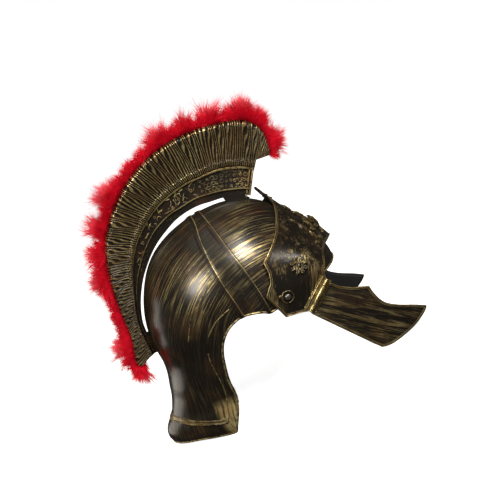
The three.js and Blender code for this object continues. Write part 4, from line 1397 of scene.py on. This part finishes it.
class MakeGuards(bpy.types.Operator):
    """Both cheek guards with beaded borders and middle knuckles"""

    bl_idname = "helmet.make_guards"
    bl_label = "Cheek guards"

    def execute(self, context):
        for side, word in ((-1, "right"), (1, "left")):
            self.guard(context.scene.helmet_sizes.wall, side, word)
        return {"FINISHED"}

    def guard(self, thickness, side, word):
        columns, rows = GUARD_GRID
        outline = [
            np.array((HINGE_X + x * GUARD_REACH + MIDDLE_X, HINGE_Z + z * HINGE_Z)) for x, z in GUARD_OUTLINE
        ]
        front, rear = (np.array(hinge_point(along, HINGE_GAP)) for along in (HINGE_HALF, -HINGE_HALF))
        tip, heel = 8, 15
        eye_side = [*sharp_line([front, *outline[:4]])[:-1], *smooth_line(outline[3 : tip + 1], 160)]
        right = even_line(eye_side, rows + 1)[::-1]
        bottom = even_line(smooth_line(outline[heel : tip - 1 : -1], 300), columns + 1)
        left = even_line(sharp_line([rear, *outline[: heel - 1 : -1]]), rows + 1)[::-1]
        top = even_line([rear, front], columns + 1)
        bm, u, v = grid(columns, rows)
        column = np.rint(u * columns).astype(int)
        level = np.rint(v * rows).astype(int)
        plane = coons(top, bottom, left, right, columns, rows)[level, column]
        across = (plane[:, 0] - MIDDLE_X - HINGE_X) / GUARD_REACH - 0.4
        down = (plane[:, 1] - HINGE_Z) / HINGE_Z + 0.5
        bulge = 0.002 * np.maximum(1 - 2 * across**2 - 4 * down**2, -1)
        edge = nearest(plane, np.concatenate([even_line(line, 500) for line in (right, bottom, left, top)]))
        rise = beaded_edge(edge, 0.0009, 0.0008)
        set_side_view(bm, plane, side * (PLATE_HALF_WIDTH + bulge + rise))
        set_layer(bm, "edge_mm", edge * 1000)
        bm.normal_update()
        if sum(face.normal.y for face in bm.faces) * side < 0:
            bmesh.ops.reverse_faces(bm, faces=bm.faces)
        body, slot = f"guard_{word}", f"cheek_guard_{word}"
        piece = finish_piece(bm, f"guard_sheet_{word}", "gilded_guard", body)
        wall(piece, thickness)
        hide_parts(f"cheek_guard_{word}")
        bm = bmesh.new()
        ends = [hinge_point(along) for along in (-KNUCKLE_SPLIT, KNUCKLE_SPLIT)]
        tube_between(bm, *((x, side * HINGE_OUT, z) for x, z in ends), 0.003)
        flange(bm, side, 1)
        finish_piece(bm, f"guard_knuckle_{word}", "gilded_hinge", body)
        pin = frame["nodes"][f"hinge_pin_{word}"]
        pin.data.materials.clear()
        pin.data.materials.append(finish_of("rivet_steel"))


def toward(azimuth, elevation):
    """The direction from the helmet to a place round it and above it, in degrees."""
    a, e = math.radians(azimuth), math.radians(elevation)
    return Vector((math.sin(a) * math.cos(e), -math.cos(a) * math.cos(e), math.sin(e)))


class MakeStage(bpy.types.Operator):
    """Pale floor, soft studio lights, white backdrop and the camera"""

    bl_idname = "helmet.make_stage"
    bl_label = "Stage"

    def execute(self, context):
        self.floor()
        self.world(context.scene)
        for name, azimuth, elevation, distance, size, strength in LIGHTS:
            self.light(name, toward(azimuth, elevation), distance, size, strength)
        self.camera(context.scene)
        context.scene.view_settings.view_transform = "Standard"
        return {"FINISHED"}

    def floor(self):
        bm = bmesh.new()
        bmesh.ops.create_circle(bm, cap_ends=True, segments=96, radius=6.0)
        mesh = small_mesh("floor", bm)
        finish = Finish("pale_floor")
        x, y, _ = finish.axes()
        away = (x * x + y * y) ** 0.5
        finish.set(
            Base_Color=finish.blend(finish.noise(3.0), (0.93, 0.93, 0.93), (0.95, 0.95, 0.95)),
            Emission_Color=finish.blend(away.smooth(0.3, 1.5), (0.94, 0.94, 0.94), (1.0, 1.0, 1.0)),
            Roughness=0.9,
            Emission_Strength=1.0,
        )
        mesh.materials.append(finish.material)
        floor = bpy.data.objects.new("floor", mesh)
        floor.location.z = -0.0002
        floor.visible_diffuse = False
        floor.visible_glossy = False
        bpy.context.scene.collection.objects.link(floor)

    def world(self, scene):
        """White where the camera looks past the helmet, and dim for every other ray."""
        world = bpy.data.worlds.new("white_room")
        world.use_nodes = True
        scene.world = world
        tree = world.node_tree
        mix = tree.nodes.new("ShaderNodeMixShader")
        path = tree.nodes.new("ShaderNodeLightPath")
        tree.links.new(path.outputs["Is Camera Ray"], mix.inputs[0])
        dim = tree.nodes.new("ShaderNodeBackground")
        for slot, node, strength in ((1, dim, 0.04), (2, tree.nodes["Background"], 1.0)):
            node.inputs["Color"].default_value = (1, 1, 1, 1)
            node.inputs["Strength"].default_value = strength
            tree.links.new(node.outputs[0], mix.inputs[slot])
        tree.links.new(mix.outputs[0], tree.nodes["World Output"].inputs[0])

    def light(self, name, back, distance, size, strength):
        light = bpy.data.lights.new(name, "AREA")
        light.shape = "RECTANGLE"
        light.size = size
        light.size_y = size * 1.25
        light.energy = strength
        light.color = (1.0, 0.95, 0.86)
        holder = bpy.data.objects.new(name, light)
        holder.location = LIGHT_TARGET + back * distance
        holder.rotation_euler = (-back).to_track_quat("-Z", "Y").to_euler()
        bpy.context.scene.collection.objects.link(holder)

    def camera(self, scene):
        """The photo's view, rolled so that the helmet leans back in the picture."""
        turn, roll = math.radians(CAMERA_AZIMUTH), math.radians(CAMERA_ROLL)
        back = toward(CAMERA_AZIMUTH, CAMERA_ELEVATION)
        level = Vector((math.cos(turn), math.sin(turn), 0))
        upright = back.cross(level)
        right = level * math.cos(roll) - upright * math.sin(roll)
        up = level * math.sin(roll) + upright * math.cos(roll)
        camera = bpy.data.objects.new("camera", bpy.data.cameras.new("camera"))
        camera.data.sensor_width = SENSOR_WIDTH
        camera.data.lens = SENSOR_WIDTH * FOCAL_LENGTH_PIXELS / PICTURE_PIXELS
        turned = Matrix((right, up, back)).transposed().to_4x4()
        camera.matrix_world = Matrix.Translation(CAMERA_TARGET + back * CAMERA_DISTANCE) @ turned
        camera.data.clip_start = 0.01
        scene.collection.objects.link(camera)
        scene.camera = camera


class HelmetPanel(bpy.types.Panel):
    """Lists the sizes, the colours and the pieces"""

    bl_idname = "VIEW3D_PT_helmet"
    bl_label = "Legionary helmet"
    bl_space_type = "VIEW_3D"
    bl_region_type = "UI"
    bl_category = "Helmet"

    def draw(self, context):
        for group in (context.scene.helmet_sizes, context.scene.helmet_look):
            for key in group.bl_rna.properties.keys():
                if key not in {"rna_type", "name"}:
                    self.layout.prop(group, key)
        for operator in OPERATORS:
            self.layout.operator(operator.bl_idname)


OPERATORS = (MakeBowl, MakeCrest, MakeFeathers, MakePlate, MakeGuards, MakeStage)
CLASSES = (HelmetSizes, HelmetLook, *OPERATORS, HelmetPanel)


def register():
    for made in CLASSES:
        bpy.utils.register_class(made)
    bpy.types.Scene.helmet_sizes = PointerProperty(type=HelmetSizes)
    bpy.types.Scene.helmet_look = PointerProperty(type=HelmetLook)


def unregister():
    del bpy.types.Scene.helmet_look
    del bpy.types.Scene.helmet_sizes
    for made in reversed(CLASSES):
        bpy.utils.unregister_class(made)


def main():
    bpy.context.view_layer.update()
    register()
    bpy.ops.helmet.make_stage()
    bpy.ops.helmet.make_bowl()
    bpy.ops.helmet.make_plate()
    bpy.ops.helmet.make_guards()
    bpy.ops.helmet.make_crest()
    bpy.ops.helmet.make_feathers()
    bpy.context.view_layer.update()


if __name__ == "__main__":
    main()
